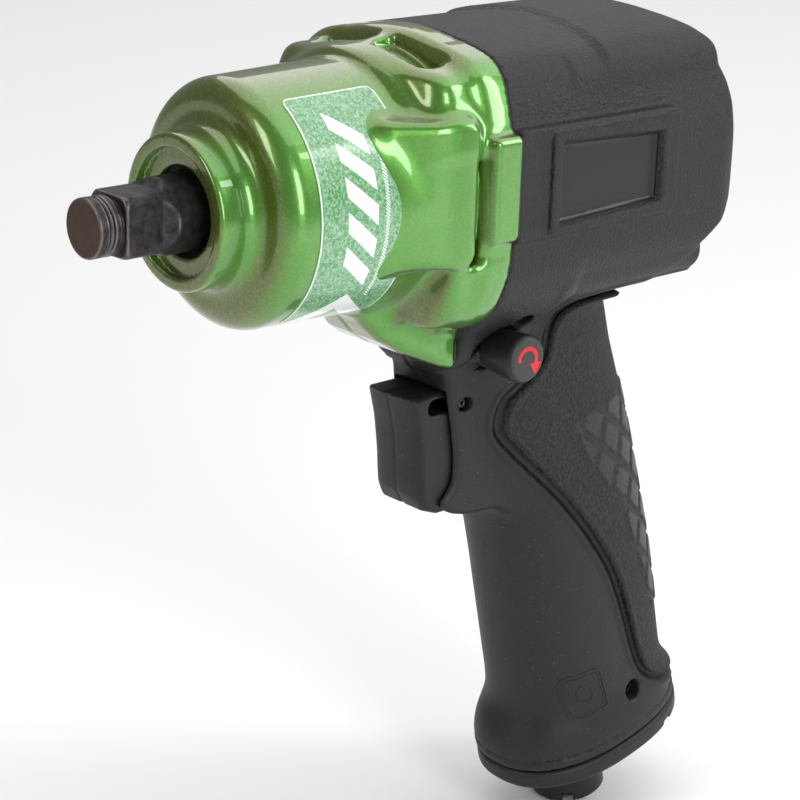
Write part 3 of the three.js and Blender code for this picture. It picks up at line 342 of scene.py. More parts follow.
def turned(profile, columns=96):
    """A profile of (radius, height) pairs turned about an axis: points, quads and triangles.

    A radius of 0 at either end is closed to one pole; otherwise the profile closes on itself.
    """
    profile = np.array(profile, float)
    first, last = profile[0, 0] == 0, profile[-1, 0] == 0
    body = profile[int(first):len(profile) - int(last)]
    angle = 2 * np.pi * np.arange(columns) / columns
    radius, height = body[:, 0][:, None], body[:, 1][:, None]
    p = np.stack([radius * np.cos(angle), radius * np.sin(angle), height + 0 * angle], -1).reshape(-1, 3)
    quads = sheet_faces(len(body), columns, closed_rows=not (first or last))
    triangles = []
    j = np.arange(columns)
    for is_pole, row, at, turn in ((first, 0, profile[0, 1], 1), (last, len(body) - 1, profile[-1, 1], -1)):
        if is_pole:
            pole = np.full(columns, len(p))
            p = np.vstack([p, [[0, 0, at]]])
            ends = [row * columns + (j + 1) % columns, row * columns + j]
            triangles.append(np.stack([pole, *ends[::turn]], -1))
    return p, quads, np.concatenate(triangles) if triangles else np.zeros((0, 3), int)


def rounded(profile, radius, steps=4):
    """The inner corners of an open profile rounded by short arcs, as a quadratic curve each."""
    p = np.array(profile, float)
    out = [p[0]]
    for a, b, c in zip(p, p[1:], p[2:]):
        into, out_of = a - b, c - b
        reach = min(radius, 0.45 * np.linalg.norm(into), 0.45 * np.linalg.norm(out_of))
        start, end = b + into / np.linalg.norm(into) * reach, b + out_of / np.linalg.norm(out_of) * reach
        for t in np.linspace(0, 1, steps):
            out.append((1 - t) ** 2 * start + 2 * t * (1 - t) * b + t**2 * end)
    out.append(p[-1])
    return np.array(out)


def tube(path, radius, sides=8, closed=True):
    """A round section carried along a path; its frame turns with the path's direction."""
    path = np.array(path, float)
    ahead = np.roll(path, -1, 0) - np.roll(path, 1, 0) if closed else np.gradient(path, axis=0)
    ahead /= np.linalg.norm(ahead, axis=1, keepdims=True)
    side = np.cross(ahead, [1.0, 0.0, 0.0])
    side /= np.linalg.norm(side, axis=1, keepdims=True)
    other = np.cross(ahead, side)
    angle = 2 * np.pi * np.arange(sides) / sides
    outwards = np.cos(angle)[:, None] * side[:, None] + np.sin(angle)[:, None] * other[:, None]
    p = path[:, None] + radius * outwards
    return p.reshape(-1, 3), sheet_faces(len(path), sides, closed_rows=closed)


def add_piece(name, points, faces, body, nodes, material, normals=None, marks=None):
    """A mesh object from points in millimetres, riding on a body and standing for frame nodes.

    Faces are one array of corner numbers or a list of them. Without normals, edges that bend more
    than SHARP_ANGLE are sharp.
    """
    mesh = bpy.data.meshes.new(name)
    groups = faces if isinstance(faces, (list, tuple)) else [faces]
    groups = [g for g in groups if len(g)]
    loops = np.concatenate([g.ravel() for g in groups])
    sizes = np.concatenate([np.full(len(g), g.shape[1]) for g in groups])
    mesh.vertices.add(len(points))
    mesh.vertices.foreach_set("co", (np.asarray(points) * MM).astype(np.float32).ravel())
    mesh.loops.add(len(loops))
    mesh.loops.foreach_set("vertex_index", loops.astype(np.int32))
    mesh.polygons.add(len(sizes))
    mesh.polygons.foreach_set("loop_start", (np.cumsum(sizes) - sizes).astype(np.int32))
    mesh.polygons.foreach_set("use_smooth", np.ones(len(sizes), bool))
    mesh.update(calc_edges=True)
    mesh.validate()
    for label, values in (marks or {}).items():
        layer = mesh.attributes.new(label, "FLOAT", "POINT")
        layer.data.foreach_set("value", values.astype(np.float32))
    if normals is not None:
        mesh.normals_split_custom_set_from_vertices(normals.astype(float).tolist())
    else:
        mesh.set_sharp_from_angle(angle=np.radians(SHARP_ANGLE))
    piece = bpy.data.objects.new(name, mesh)
    bpy.context.scene.collection.objects.link(piece)
    mesh.materials.append(material)
    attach(piece, body)
    if nodes:
        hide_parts(*nodes)
    return piece


def orient(piece):
    """Turns every face of a closed surface outwards."""
    work = bmesh.new()
    work.from_mesh(piece.data)
    bmesh.ops.recalc_face_normals(work, faces=work.faces)
    work.to_mesh(piece.data)
    work.free()
    piece.data.update()


def add_skin(name, field, lo, hi, cell, body, nodes, material, marks=None):
    """A piece made as the skin of a field; marks are functions of its points."""
    p, quads, normals = skin(field, lo, hi, cell)
    values = {label: rule(p) for label, rule in (marks or {}).items()}
    return add_piece(name, p, quads, body, nodes, material, normals, values)


def about_y(points):
    """Turned points, made about +Z, laid along the Y axis."""
    return np.stack([points[:, 1], points[:, 2], points[:, 0]], -1)


def about_x(points, y, z):
    """Turned points, made about +Z, laid along X through (y, z)."""
    return np.stack([points[:, 2], points[:, 0] + y, points[:, 1] + z], -1)


# ---------------------------------------------------------------- motor body and handle

SECTION_SIDE = [
    (0, TOP), (7, 32.2), (13, 31.4), (18.5, 30.4), (23.6, 28.7), (26.9, 25.6), (28.6, 21.6), (29.9, 17),
    (31.2, 12), (32.2, 6), (32.6, 0), (32.5, -6), (32.1, -11), (31.4, -16.5), (29.6, -21), (26.6, -25.4),
    (22.4, -29.3), (16, -32), (8, -33.2), (0, -33.6),
]
SECTION = eased(SECTION_SIDE + [(-x, z) for x, z in SECTION_SIDE[-2:0:-1]], 4)
SECTION_ANGLE = np.arctan2([q[1] for q in SECTION], [q[0] for q in SECTION])
SECTION_ORDER = np.argsort(SECTION_ANGLE)
SECTION_ANGLE = SECTION_ANGLE[SECTION_ORDER]
SECTION_RADIUS = np.hypot(*np.array(SECTION).T)[SECTION_ORDER]


def section(x, z):
    """The body's cross-section as a flat field: radius less the outline's radius at that angle."""
    edge = np.interp(np.arctan2(z, x), SECTION_ANGLE, SECTION_RADIUS, period=2 * np.pi)
    return (np.hypot(x, z) - edge) * 0.97


REAR_BY_HEIGHT = np.array([
    (-34, 128), (-30, 135), (-26, 143.5), (-21.5, 152), (-15, 158.4), (-9.5, 160.9), (-2, 161.5), (7, 161.3),
    (13, 160.2), (17.8, 158.6), (22.5, 156.2), (26.5, 153.8), (30, 151.2), (34, 147),
])
REAR_BY_WIDTH = np.array([
    (0, 161.7), (22.3, 161.5), (28, 161.0), (31.3, 159.8), (33, 156.5), (34.3, 152.5), (37, 143),
])


def body_field(p):
    """The motor body: a section carried rearwards, closed by a rounded back, with bosses and a step."""
    x, y, z = np.abs(p[:, 0]), p[:, 1], p[:, 2]
    shell = extrude(section(x, z), y, BODY_FRONT, 190, 0.3)
    back_height = y - np.interp(z, REAR_BY_HEIGHT[:, 0], REAR_BY_HEIGHT[:, 1])
    back_plan = y - np.interp(x, REAR_BY_WIDTH[:, 0], REAR_BY_WIDTH[:, 1])
    shell = common(shell, common(back_height * 0.85, back_plan * 0.8, 1.5), 2.4)
    crease = BODY_FRONT + 33.5 - 0.12 * x - y
    shell = shell - 1.0 * np.clip(0.5 - crease / 2.4, 0, 1) * np.clip((z - 21.5) / 4.5, 0, 1)
    for boss_z in (SCREW_Z, -SCREW_Z):
        boss = extrude(cylinder(x, z, SCREW_X, boss_z, 5.8), y, BODY_FRONT + 20, SCREW_REAR + 0.5, 1.0)
        shell = join(shell, boss, 1.6)
        well = extrude(cylinder(x, z, SCREW_X, boss_z, 4.7), y, SCREW_REAR - 5.2, 190, 0.4)
        shell = carve(shell, well, 0.7)
    return shell


def side_panel(p, body):
    """The raised side panel, with a picture frame round a sunk window."""
    x, y, z = np.abs(p[:, 0]), p[:, 1], p[:, 2]
    panel = extrude(slab(y, z, BODY_FRONT - 12, 138.4, -9.6, 14.8, 3.2), x, 10, BAND - 0.75, 0.7)
    panel = common(panel, (BODY_FRONT - y), 0.3)
    picture = extrude(slab(y, z, 96.6, 134.0, -8.8, 13.7, 1.0), x, 10, BAND, 0.45)
    taper = (z - 2.0) / (1 - 0.0045 * (y - 99.6)) + 2.0
    rim = slab(y, taper, 99.8, 131.8, -7.4, 11.2, 0.6)
    window = common(rim + (x - BAND + 0.6) * -0.75, BAND - 2.0 - x, 0.3)
    return carve(join(join(body, panel, 1.0), picture, 0.35), window, 0.4)


# Rows of height up the handle, reach forwards, reach rearwards and half width
HANDLE_HEIGHT, HANDLE_FRONT, HANDLE_REAR, HANDLE_HALF = np.array([
    (-1, 30.7, 28.0, 19.8),
    (0, 31.0, 28.2, 20),
    (3, 31.0, 27.3, 19.9),
    (6, 30.6, 26.3, 19.5),
    (9, 29.3, 24.9, 18.8),
    (12, 26.9, 23.2, 18.1),
    (15, 25.4, 22.5, 17.7),
    (20, 25.0, 22.4, 17.5),
    (33, 25.2, 22.2, 17.4),
    (46, 25.3, 21.7, 17.4),
    (56, 25.3, 20.7, 17.4),
    (66, 25.5, 19.6, 17.5),
    (80, 27.0, 18.2, 17.6),
    (92, 30.8, 17.0, 17.4),
    (106, 35.4, 15.4, 16.8),
    (118, 37.5, 14.8, 16.6),
    (132, 38, 14.8, 16.6),
]).T


def smooth_table(height, values, at):
    """A table read with a smooth slope: the mean of linear readings a little below and above."""
    return sum(np.interp(at + d, height, values) for d in (-1.6, -0.8, 0, 0.8, 1.6)) / 5


def handle_section(p):
    """The handle: a superellipse whose front, rear and width follow tables up the leaning axis."""
    x, along, up = in_handle(p)
    front = smooth_table(HANDLE_HEIGHT, HANDLE_FRONT, up)
    rear = smooth_table(HANDLE_HEIGHT, HANDLE_REAR, up)
    half = smooth_table(HANDLE_HEIGHT, HANDLE_HALF, up)
    length, centre = (front + rear) / 2, (rear - front) / 2
    flat = superellipse(x, along - centre, half, length)
    return extrude(np.maximum(flat, -8), up, 0, HANDLE_RISE, 0.7)


CHEEK = BODY_FRONT + 3.4
BLOCK_SIDE = eased([
    (BODY_FRONT + 0.4, -32), (BODY_FRONT + 0.4, -44), (CHEEK, -46.6), (CHEEK + 0.6, -52), (CHEEK + 1.9, -58),
    (CHEEK + 3.3, -67), (CHEEK + 2.8, -73), (CHEEK - 0.6, -77.6), (CHEEK + 3.6, -80.9), (CHEEK + 10, -82.4),
    (CHEEK + 17, -82.8), (CHEEK + 28, -82), (CHEEK + 34, -60), (CHEEK + 34, -32),
], 3)


def block_field(p):
    """The trigger block in front of the handle, with the neck above it that the button crosses."""
    x, y, z = np.abs(p[:, 0]), p[:, 1], p[:, 2]
    block = extrude(outline(y, z, BLOCK_SIDE), x, -1, 10.2, 2.6)
    neck_side = slab(y, z, BODY_FRONT, 108, -43.2, -20, 1.0)
    half = np.interp(z, [-43.5, -39.5, -33, -29, -24], [13.6, 16.6, 20.4, 23.4, 27])
    neck = common(extrude(neck_side, x, -1, 40, 0.5), (x - half) * 0.8, 2.0)
    return join(block, neck, 2.5)


def housing_core(p):
    """Body, neck, block and handle as one flowing shape."""
    grip = join(handle_section(p), block_field(p), 5.0)
    return join(body_field(p), grip, 6.0)


GRIP_SIDE = eased([
    (170, -29.6), (155, -29.8), (143, -29.9), (131, -29.8), (122.5, -30.6), (118, -33), (115.8, -38),
    (114.5, -44), (109.6, -49.5), (106, -53), (104.9, -57), (105.7, -62), (109.5, -66.6), (114, -71.2),
    (120, -77.2), (127, -84.8), (134.2, -93.5), (141.6, -103.6), (146.4, -113), (150.4, -122.6),
    (153.6, -130.4), (157.5, -136.6), (163.3, -140.4), (169.6, -141.8), (178, -141.8), (196, -138),
    (205, -90), (195, -34),
], 4)


def housing_field(p):
    """The whole plastic housing, with its grip bed, trigger pocket, bores, screw well and panel."""
    x, y, z = np.abs(p[:, 0]), p[:, 1], p[:, 2]
    _, along, up = in_handle(p)
    core = side_panel(p, housing_core(p))
    side = outline(y, z, GRIP_SIDE)
    groove = np.hypot(core, side + 0.2) - 1.0
    bead = np.hypot(core + 0.3, side - 1.9) - 0.85
    core = join(core, bead, 0.5)
    core = carve(core, groove, 0.5)
    pocket_side = slab(y, z, 60, PIN_Y + 7.5, TRIGGER_BOTTOM - 0.9, TRIGGER_TOP + 0.3, 1.2)
    pocket = extrude(pocket_side, x, -1, 8.5, 0.4)
    core = carve(core, pocket, 0.7)
    bore = extrude(cylinder(y, z, BUTTON_Y, BUTTON_Z, 6.3), x, 11.4, 60, 0.5)
    core = carve(core, bore, 0.8)
    dimple = np.sqrt((x - 20.5) ** 2 + (y - BUTTON_Y - 3.4) ** 2 + (z - BUTTON_Z - 7.4) ** 2) - 3.4
    core = carve(core, dimple, 0.8)
    pin = extrude(cylinder(y, z, PIN_Y, PIN_Z, 1.75), x, 8.2, 30, 0.2)
    core = carve(core, pin, 0.4)
    screw = extrude(cylinder(along, up, BASE_SCREW_ALONG, BASE_SCREW_UP, 2.6), p[:, 0], 12.6, 40, 0.3)
    core = carve(core, screw, 0.5)
    rim = np.hypot(core, up - 2.6) - 0.42
    core = carve(core, rim, 0.3)
    air = extrude(cylinder(p[:, 0], along, 0, -INLET_FORWARD, INLET_RADIUS + 0.15), up, -9, 15.9, 0.2)
    core = carve(core, air, 0.3)
    motor = extrude(np.hypot(x, z) - 27.5, y, 60, 146.5, 0.5)
    return carve(core, motor, 0.4)


TILE_EDGE_HEIGHT = [28, 41, 55.5, 68.5, 74.5, 83.5, 92.5]
TILE_EDGE_FRONT = [14.5, 11.9, 7.0, 4.3, -0.7, -6.2, -9.0]


def tile_patch(p):
    """Where the rear of the grip is smooth: 1 behind the patch's slanting front edge."""
    _, along, up = in_handle(p)
    front = np.interp(up, TILE_EDGE_HEIGHT, TILE_EDGE_FRONT)
    behind = np.clip((along - front) / 0.5, 0, 1)
    return behind * np.clip((up - 29) / 0.8, 0, 1) * np.clip((95 - up) / 0.8, 0, 1)


def tile_mark(p):
    """Raised tiles on the patch: a skewed lattice, two shares m and n counting whole tiles."""
    x, along, up = in_handle(p)
    w = along + 0.5 * (19 - np.abs(x)) + 2.95
    m = 0.0980 * w - 0.0562 * (up - 92.4)
    n = -0.0980 * w - 0.0908 * (up - 92.4)
    off = np.maximum(np.abs(m - np.round(m)), np.abs(n - np.round(n)))
    return np.clip((0.40 - off) / 0.04, 0, 1) * tile_patch(p)


def grip_field(p):
    """The rubber grip: a skin over the core inside its side outline, with raised lip and tiles."""
    core = housing_core(p)
    side = outline(p[:, 1], p[:, 2], GRIP_SIDE)
    lip = 0.35 * np.exp(-((side + 1.5) / 0.8) ** 2)
    thick = 1.4 + lip + 0.5 * tile_mark(p)
    shell = common(core - thick, side + 0.75, 1.2)
    inner = -(core - 0.25)
    return common(shell, inner, 0.3)


# ---------------------------------------------------------------- hammer case

BORE = 9.5
BARREL_FRONT = 38
BARREL_RADIUS = 26.6
BARREL_GROWTH = 1.6


def barrel_radius(y):
    """The barrel's radius, which grows evenly from its front to the parting face."""
    return BARREL_RADIUS + BARREL_GROWTH * (y - BARREL_FRONT) / (PARTING - BARREL_FRONT)


CHIN_SIDE = [
    (65, -20), (65.2, -27.8), (68.4, -31.6), (71, -34.4), (76, -37.6), (84, -41.3), (90, -43.4), (90, -20),
]


def case_outside(p):
    """Outside of the hammer case: turned nose and barrel, arch, side pads, bosses, chin and flange."""
    x, y, z = np.abs(p[:, 0]), p[:, 1], p[:, 2]
    r = np.hypot(x, z)
    barrel = extrude(r - barrel_radius(y), y, 31.0, PARTING, 5.0)
    nose = extrude(r - 16.4, y, NOSE, 60, 0.9)
    case = join(barrel, nose, 4.0)
    flange = extrude(section(x, z), y, 79.2, PARTING + 8, 2.2)
    arch = extrude(r - (29.4 + 2.9 * np.clip((y - 67) / 16, 0, 1)), y, 65.8, PARTING, 1.8)
    arch = common(arch, 12.0 - z, 3.0)
    pad = extrude(slab(y, z, 56, 77.4, -13.0, 18.4, 3.0), x, 0, 32.3, 2.4)
    pad = common(pad, (x - 27.2) * 0.85 - (y - 62.0) * 0.55, 3.0)
    low_pad = common(extrude(section(x, z) + 0.8, y, 72, PARTING, 2.4), np.abs(z + 21.5) - 7.5, 2)
    chin = extrude(outline(y, z, CHIN_SIDE), x, -1, 17.2, 2.4)
    plan = x - np.interp(y, [64, 71, 79, 84, 90], [7.5, 10.4, 14.2, 16.4, 16.8])
    chin = common(chin, common(plan * 0.85, x - (16.6 + 0.62 * (z + 41)), 2.0), 2.6)
    for piece, soft in ((flange, 2.6), (arch, 2.4), (pad, 3.2), (low_pad, 3.0), (chin, 3.4)):
        case = join(case, piece, soft)
    panel = extrude(slab(y, z, 79.8, PARTING + 14, -8.6, 14.0, 1.4), x, 10, BAND - 0.2, 1.4)
    case = join(case, panel, 1.8)
    boss = extrude(cylinder(x, z, SCREW_X, -SCREW_Z, 5.6), y, 73.5, PARTING, 3.4)
    bulge = common(extrude(section(x, z) + 1.0, y, 69.0, PARTING, 4.5), np.abs(z - 20.0) - 7.5, 3.0)
    case = join(join(case, boss, 4.0), bulge, 4.0)
    from_top = np.degrees(np.arctan2(x, z))
    pocket = extrude(slab(y, (from_top - 18.8) * 0.52, 72.4, 78.4, -8.0, 8.0, 1.6), r, 29.2, 50, 0.8)
    return carve(case, pocket, 1.2)


def case_field(p):
    """The hammer case with its nose recess, seal seat, bore and flat rear face."""
    x, y, z = p[:, 0], p[:, 1], p[:, 2]
    r = np.hypot(x, z)
    case = common(case_outside(p), y - PARTING, 0.25)
    case = carve(case, extrude(r - 13.5, y, 0, NOSE + 2.0, 0.2), 0.6)
    case = carve(case, extrude(r - 11.1, y, NOSE + 4.2, 27.5, 0.2), 0.25)
    case = carve(case, extrude(r - 23.2, y, 42.7, 200, 0.3), 0.3)
    return carve(case, extrude(r - BORE, y, 0, 60, 0.2), 0.9)


# ---------------------------------------------------------------- anvil, trigger, base

HALF_SQUARE = 6.35
JAW_RADIUS = 13
JAW_LENGTH = 13.4
JAW_HALF_ANGLE = 16
JAWS = ((45, 48.6), (-135, 62.9))


def anvil_field(p):
    """The anvil: a turned bar whose front stretch is cut to a square with easy edges."""
    x, y, z = p[:, 0], p[:, 1], p[:, 2]
    r = np.hypot(x, z)
    pilot = extrude(r - 6.2, y, 0, 8, 0.4)
    groove = extrude(np.abs(r - 6.8) - 1.6, y, 2.3, 3.5, 0.15)
    pilot = carve(pilot, groove, 0.4)
    neck = extrude(np.abs(r - 6.9) - 1.3, y, 5.2, 6.0, 0.15)
    pilot = carve(pilot, neck, 0.4)
    shank = extrude(r - 8.1, y, 6.0, 27.4, 0.9)
    square = slab(x, z, -HALF_SQUARE, HALF_SQUARE, -HALF_SQUARE, HALF_SQUARE, 0.9)
    ramp = square - 0.9 * np.clip(y - 14.6, 0, None) ** 1.15 * 0.55
    shank = common(shank, np.where(y > 17.5, -3.0, ramp), 0.5)
    journal = extrude(r - 9.2, y, 27.6, 76.6, 0.4)
    tail = extrude(r - 4.0, y, 70, 79.9, 0.4)
    body = join(join(pilot, shank, 0.3), join(journal, tail, 0.4), 0.3)
    angle = np.degrees(np.arctan2(z, x))
    for centre, start in JAWS:
        sweep = (np.abs((angle - centre + 180) % 360 - 180) - JAW_HALF_ANGLE) * np.pi / 180 * r
        jaw = extrude(np.maximum(r - JAW_RADIUS, sweep), y, start, start + JAW_LENGTH, 0.5)
        body = join(body, jaw, 1.0)
    return body


TRIGGER_SIDE = [
    (TRIGGER_FRONT + 0.2, TRIGGER_TOP), (TRIGGER_FRONT + 1.2, TRIGGER_TOP - 4),
    (TRIGGER_FRONT + 2.6, TRIGGER_TOP - 10),
    (TRIGGER_FRONT + 3.3, TRIGGER_TOP - 16), (TRIGGER_FRONT + 3.5, TRIGGER_TOP - 21),
    (TRIGGER_FRONT + 4.2, TRIGGER_TOP - 25), (TRIGGER_FRONT + 6.2, TRIGGER_TOP - 28.4),
    (TRIGGER_FRONT + 10.5, TRIGGER_BOTTOM), (PIN_Y + 0.6, TRIGGER_BOTTOM), (PIN_Y + 0.6, TRIGGER_TOP),
]


def trigger_field(p):
    """The trigger: a finger-worn front, eased edges, a pin slot open to the rear and a rod socket."""
    x, y, z = np.abs(p[:, 0]), p[:, 1], p[:, 2]
    body = extrude(outline(y, z, TRIGGER_SIDE), x, -1, 8.2, 2.2)
    hollow = np.interp(z, [-80, -75, -68, -58, -50.5], [4.6, 3.8, 3.3, 1.9, 0])
    body = common(body, TRIGGER_FRONT + 0.022 * x**2 + hollow - y, 0.8)
    slot = extrude(slab(y, z, PIN_Y - 9.3, PIN_Y + 9, PIN_Z - 1.85, PIN_Z + 1.85, 1.8), x, -1, 20, 0.2)
    body = carve(body, slot, 0.5)
    rod = extrude(cylinder(x, z, 0, -63, 1.7), y, PIN_Y - 4.5, PIN_Y + 9, 0.2)
    return carve(body, rod, 0.3)


def plate_field(p):
    """The base plate: the handle's foot outline with a rolled edge, exhaust slots and a rear foot."""
    x, along, up = in_handle(p)
    flat = superellipse(x, along + PLATE_FORWARD, PLATE_HALF_WIDTH, PLATE_HALF_LENGTH)
    plate = extrude(np.maximum(flat, -6), up, PLATE_BOTTOM, PLATE_TOP, 1.3)
    foot = extrude(slab(x, along, -12, 12, 15, 24.4, 3), up, PLATE_BOTTOM - 1.1, PLATE_BOTTOM + 2, 0.4)
    plate = join(plate, foot, 0.5)
    notch = extrude(slab(x, along, 9, 30, 12.6, 16.2, 0.8), up, PLATE_BOTTOM - 4, PLATE_BOTTOM + 1.6, 0.3)
    plate = carve(plate, notch, 0.4)
    hole = extrude(cylinder(x, along, 0, -INLET_FORWARD, INLET_RADIUS + 0.3), up, -30, 10, 0.2)
    plate = carve(plate, hole, 0.4)
    for middle in (-8, -4, 0, 4, 8):
        slot = extrude(slab(x, along, middle - 1, middle + 1, 13.4, 21.6, 0.9), up, -30, 10, 0.2)
        plate = carve(plate, slot, 0.3)
    return plate


def bushing_field(p):
    """The inlet bushing: a sleeve with a chamfered mouth, four spanner notches and a stepped rim."""
    x, along, up = in_handle(p)
    v = along + INLET_FORWARD
    r = np.hypot(x, v)
    body = extrude(r - INLET_RADIUS, up, INLET_BOTTOM, 15.7, 0.7)
    body = carve(body, extrude(np.abs(r - INLET_RADIUS) - 0.45, up, -8.2, -7.2, 0.1), 0.2)
    bore = r - 5.8 + np.clip(INLET_BOTTOM + 1.6 - up, 0, None) * -0.9
    body = carve(body, bore, 0.3)
    across = np.minimum(np.abs(x - v), np.abs(x + v)) / np.sqrt(2) - 1.3
    notch = common(common(across, 7.4 - r, 0.3), up - INLET_BOTTOM - 2.8, 0.3)
    return carve(body, notch, 0.3)


# ---------------------------------------------------------------- shader expressions

class Val:
    """A shader socket that ordinary operators work on: each one adds a Math node."""

    def __init__(self, shader, socket):
        self.shader = shader
        self.socket = socket

    def maths(self, operation, *others):
        """One Math node, with this value first."""
        return self.shader.node("ShaderNodeMath", {"operation": operation}, [self, *others])

    def __add__(self, other):
        return self.maths("ADD", other)

    def __mul__(self, other):
        return self.maths("MULTIPLY", other)

    def __sub__(self, other):
        return self.maths("SUBTRACT", other)

    def __rsub__(self, other):
        return self.shader.node("ShaderNodeMath", {"operation": "SUBTRACT"}, [other, self])

    __radd__ = __add__
    __rmul__ = __mul__

    def above(self, edge, width):
        """0 below edge, 1 above edge + width, and a straight ramp between."""
        return self.shader.node("ShaderNodeMapRange", {"clamp": True}, [self, edge, edge + width, 0.0, 1.0])

    def within(self, first, last, width):
        """1 between first and last, 0 outside, each side a straight ramp."""
        return self.above(first, width) * (1.0 - self.above(last, width))

    def absolute(self):
        return self.maths("ABSOLUTE")

    def least(self, other):
        return self.maths("MINIMUM", other)

    def most(self, other):
        return self.maths("MAXIMUM", other)


class Shader:
    """One procedural material, built node by node."""

    def __init__(self, name):
        self.material = bpy.data.materials.new(name)
        self.material.use_nodes = True
        self.tree = self.material.node_tree
        self.surface = self.tree.nodes["Principled BSDF"]

    def link(self, value, socket):
        """Links a value to a socket, or sets it there; a colour of three numbers is opaque."""
        if isinstance(value, Val):
            self.tree.links.new(value.socket, socket)
        elif isinstance(value, tuple) and len(value) < len(socket.default_value):
            socket.default_value = (*value, 1.0)
        else:
            socket.default_value = value

    def node(self, kind, settings=None, inputs=(), output=0):
        """A node of a type, its settings made first, then the values or links of its sockets."""
        made = self.tree.nodes.new(kind)
        for key, value in (settings or {}).items():
            setattr(made, key, value)
        pairs = inputs.items() if isinstance(inputs, dict) else enumerate(inputs)
        for key, value in pairs:
            self.link(value, made.inputs[key])
        return Val(self, made.outputs[output])

    def place(self):
        """The place on the object, the same in every view."""
        return self.node("ShaderNodeTexCoord", output="Object")

    def axis(self, name):
        """The x, y or z coordinate on the object, in metres."""
        return self.node("ShaderNodeSeparateXYZ", None, [self.place()], name)

    def noise(self, per_metre, detail=2.0, roughness=0.5):
        """Cloudy noise from 0 to 1, with so many patches to a metre."""
        inputs = {"Vector": self.place(), "Scale": per_metre, "Detail": detail, "Roughness": roughness}
        return self.node("ShaderNodeTexNoise", None, inputs)

    def cells(self, per_metre, output="Distance"):
        """Cells like crazed leather: the distance to each one's middle, or a colour for each."""
        return self.node("ShaderNodeTexVoronoi", None, {"Vector": self.place(), "Scale": per_metre}, output)

    def mark(self, name):
        """A number that the piece's points carry."""
        return self.node("ShaderNodeAttribute", {"attribute_name": name}, output="Fac")

    def blend(self, share, first, second):
        """A colour between two colours."""
        made = self.tree.nodes.new("ShaderNodeMix")
        made.data_type = "RGBA"
        self.link(share, made.inputs["Factor"])
        self.link(first, made.inputs[6])
        self.link(second, made.inputs[7])
        return Val(self, made.outputs[2])

    def bump(self, height, distance, strength=1.0, below=None):
        """A bumped normal from a height of 0 to 1 that stands for a distance in metres."""
        inputs = {"Strength": strength, "Distance": distance, "Height": height}
        if below is not None:
            inputs["Normal"] = below
        return self.node("ShaderNodeBump", None, inputs)

    def finish(self, **sockets):
        """Values and links for the surface's own sockets; an underscore stands for a space."""
        for name, value in sockets.items():
            self.link(value, self.surface.inputs[name.replace("_", " ")])
        return self.material


def green_paint(colour):
    """Metallic green with gold flake under clear coat; painted shade turns it a darker olive on top, below
    and in front.
    """
    s = Shader("green_paint")
    turn = s.node("ShaderNodeTexCoord", output="Normal")
    sideways_unshaded = s.node("ShaderNodeSeparateXYZ", None, [turn], "X").absolute()
    flake = s.cells(2600, "Color")
    tint = s.node("ShaderNodeSeparateColor", None, [flake], 0)
    drift = s.noise(60, 3)
    # painted shade: faces that do not point sideways are darkened towards olive, and spark and shade carry
    # this on
    body = s.blend((1.0 - sideways_unshaded).above(0.25, 0.6), colour, (0.10, 0.13, 0.018))
    spark = s.blend(tint.above(0.6, 0.4) * 0.3, body, (0.30, 0.36, 0.06))
    shade = s.blend(drift * 0.16, spark, (0.05, 0.16, 0.02))
    grain = s.bump(tint, 0.00003, 0.25)
    return s.finish(Base_Color=shade, Metallic=0.55, Roughness=0.30, Normal=grain,
                    Coat_Weight=1.0, Coat_Roughness=0.025)


def moulded(name, colour, grain_size):
    """Moulded plastic begun: its shader, a leather-like grain, a slow drift and a dust-specked tone."""
    s = Shader(name)
    grain = s.cells(1 / grain_size) * 0.6 + s.noise(1.4 / grain_size, 3) * 0.7
    drift = s.noise(45, 4)
    speck = s.noise(2600, 0).above(0.80, 0.05)
    lighter = tuple(min(1, c * 1.7) for c in colour)
    tone = s.blend(drift * 0.5, colour, lighter)
    tone = s.blend(speck * 0.25, tone, (0.35, 0.35, 0.35))
    return s, grain, drift, tone


def housing_plastic(colour):
    """Charcoal plastic: leather grain on the body, finer on the handle, smooth in the side window."""
    s, grain, drift, tone = moulded("housing_plastic", colour, 0.00075)
    height = s.axis("Z")
    on_body = height.above(-0.034, 0.004)
    across = s.axis("X").absolute()
    window = across.within((BAND - 2.6) * MM, (BAND - 1.5) * MM, 0.0002)
    window = window * s.axis("Y").within(0.1005, 0.1318, 0.0004)
    window = window * height.within(-0.007, 0.0110, 0.0004)
    fine = s.noise(3200, 2)
    amount = (on_body * 0.8 + 0.2) * (1.0 - window)
    rough = 0.44 + drift * 0.12 - window * 0.16
    coarse_bump = s.bump(grain * amount, 0.0004, 0.7)
    surface = s.bump(fine * (1.0 - window), 0.00005, 0.4, coarse_bump)
    return s.finish(Base_Color=tone, Roughness=rough, Normal=surface, Specular_IOR_Level=0.34)


def satin_plastic(name, colour=(0.010, 0.010, 0.011), roughness=0.42):
    """Satin black plastic with a very fine grain."""
    s, grain, drift, tone = moulded(name, colour, 0.0005)
    return s.finish(Base_Color=tone, Roughness=roughness + drift * 0.1, Specular_IOR_Level=0.34,
                    Normal=s.bump(grain, 0.00007, 0.45))


def grip_rubber():
    """Pebbled rubber whose raised tiles are smooth and a little glossier."""
    s = Shader("grip_rubber")
    tile = s.mark("tile")
    smooth = s.mark("patch")
    pebble = s.noise(1150, 2.5, 0.6).above(0.36, 0.3)
    drift = s.noise(50, 3)
    tone = s.blend(drift * 0.5, (0.012, 0.012, 0.013), (0.028, 0.028, 0.030))
    tone = s.blend(pebble * 0.4, tone, (0.06, 0.06, 0.062))
    rough = 0.66 - tile * 0.2 - smooth * 0.08 + drift * 0.08
    return s.finish(Base_Color=tone, Roughness=rough, Specular_IOR_Level=0.3,
                    Normal=s.bump(pebble * (1.0 - smooth), 0.0004, 0.9))


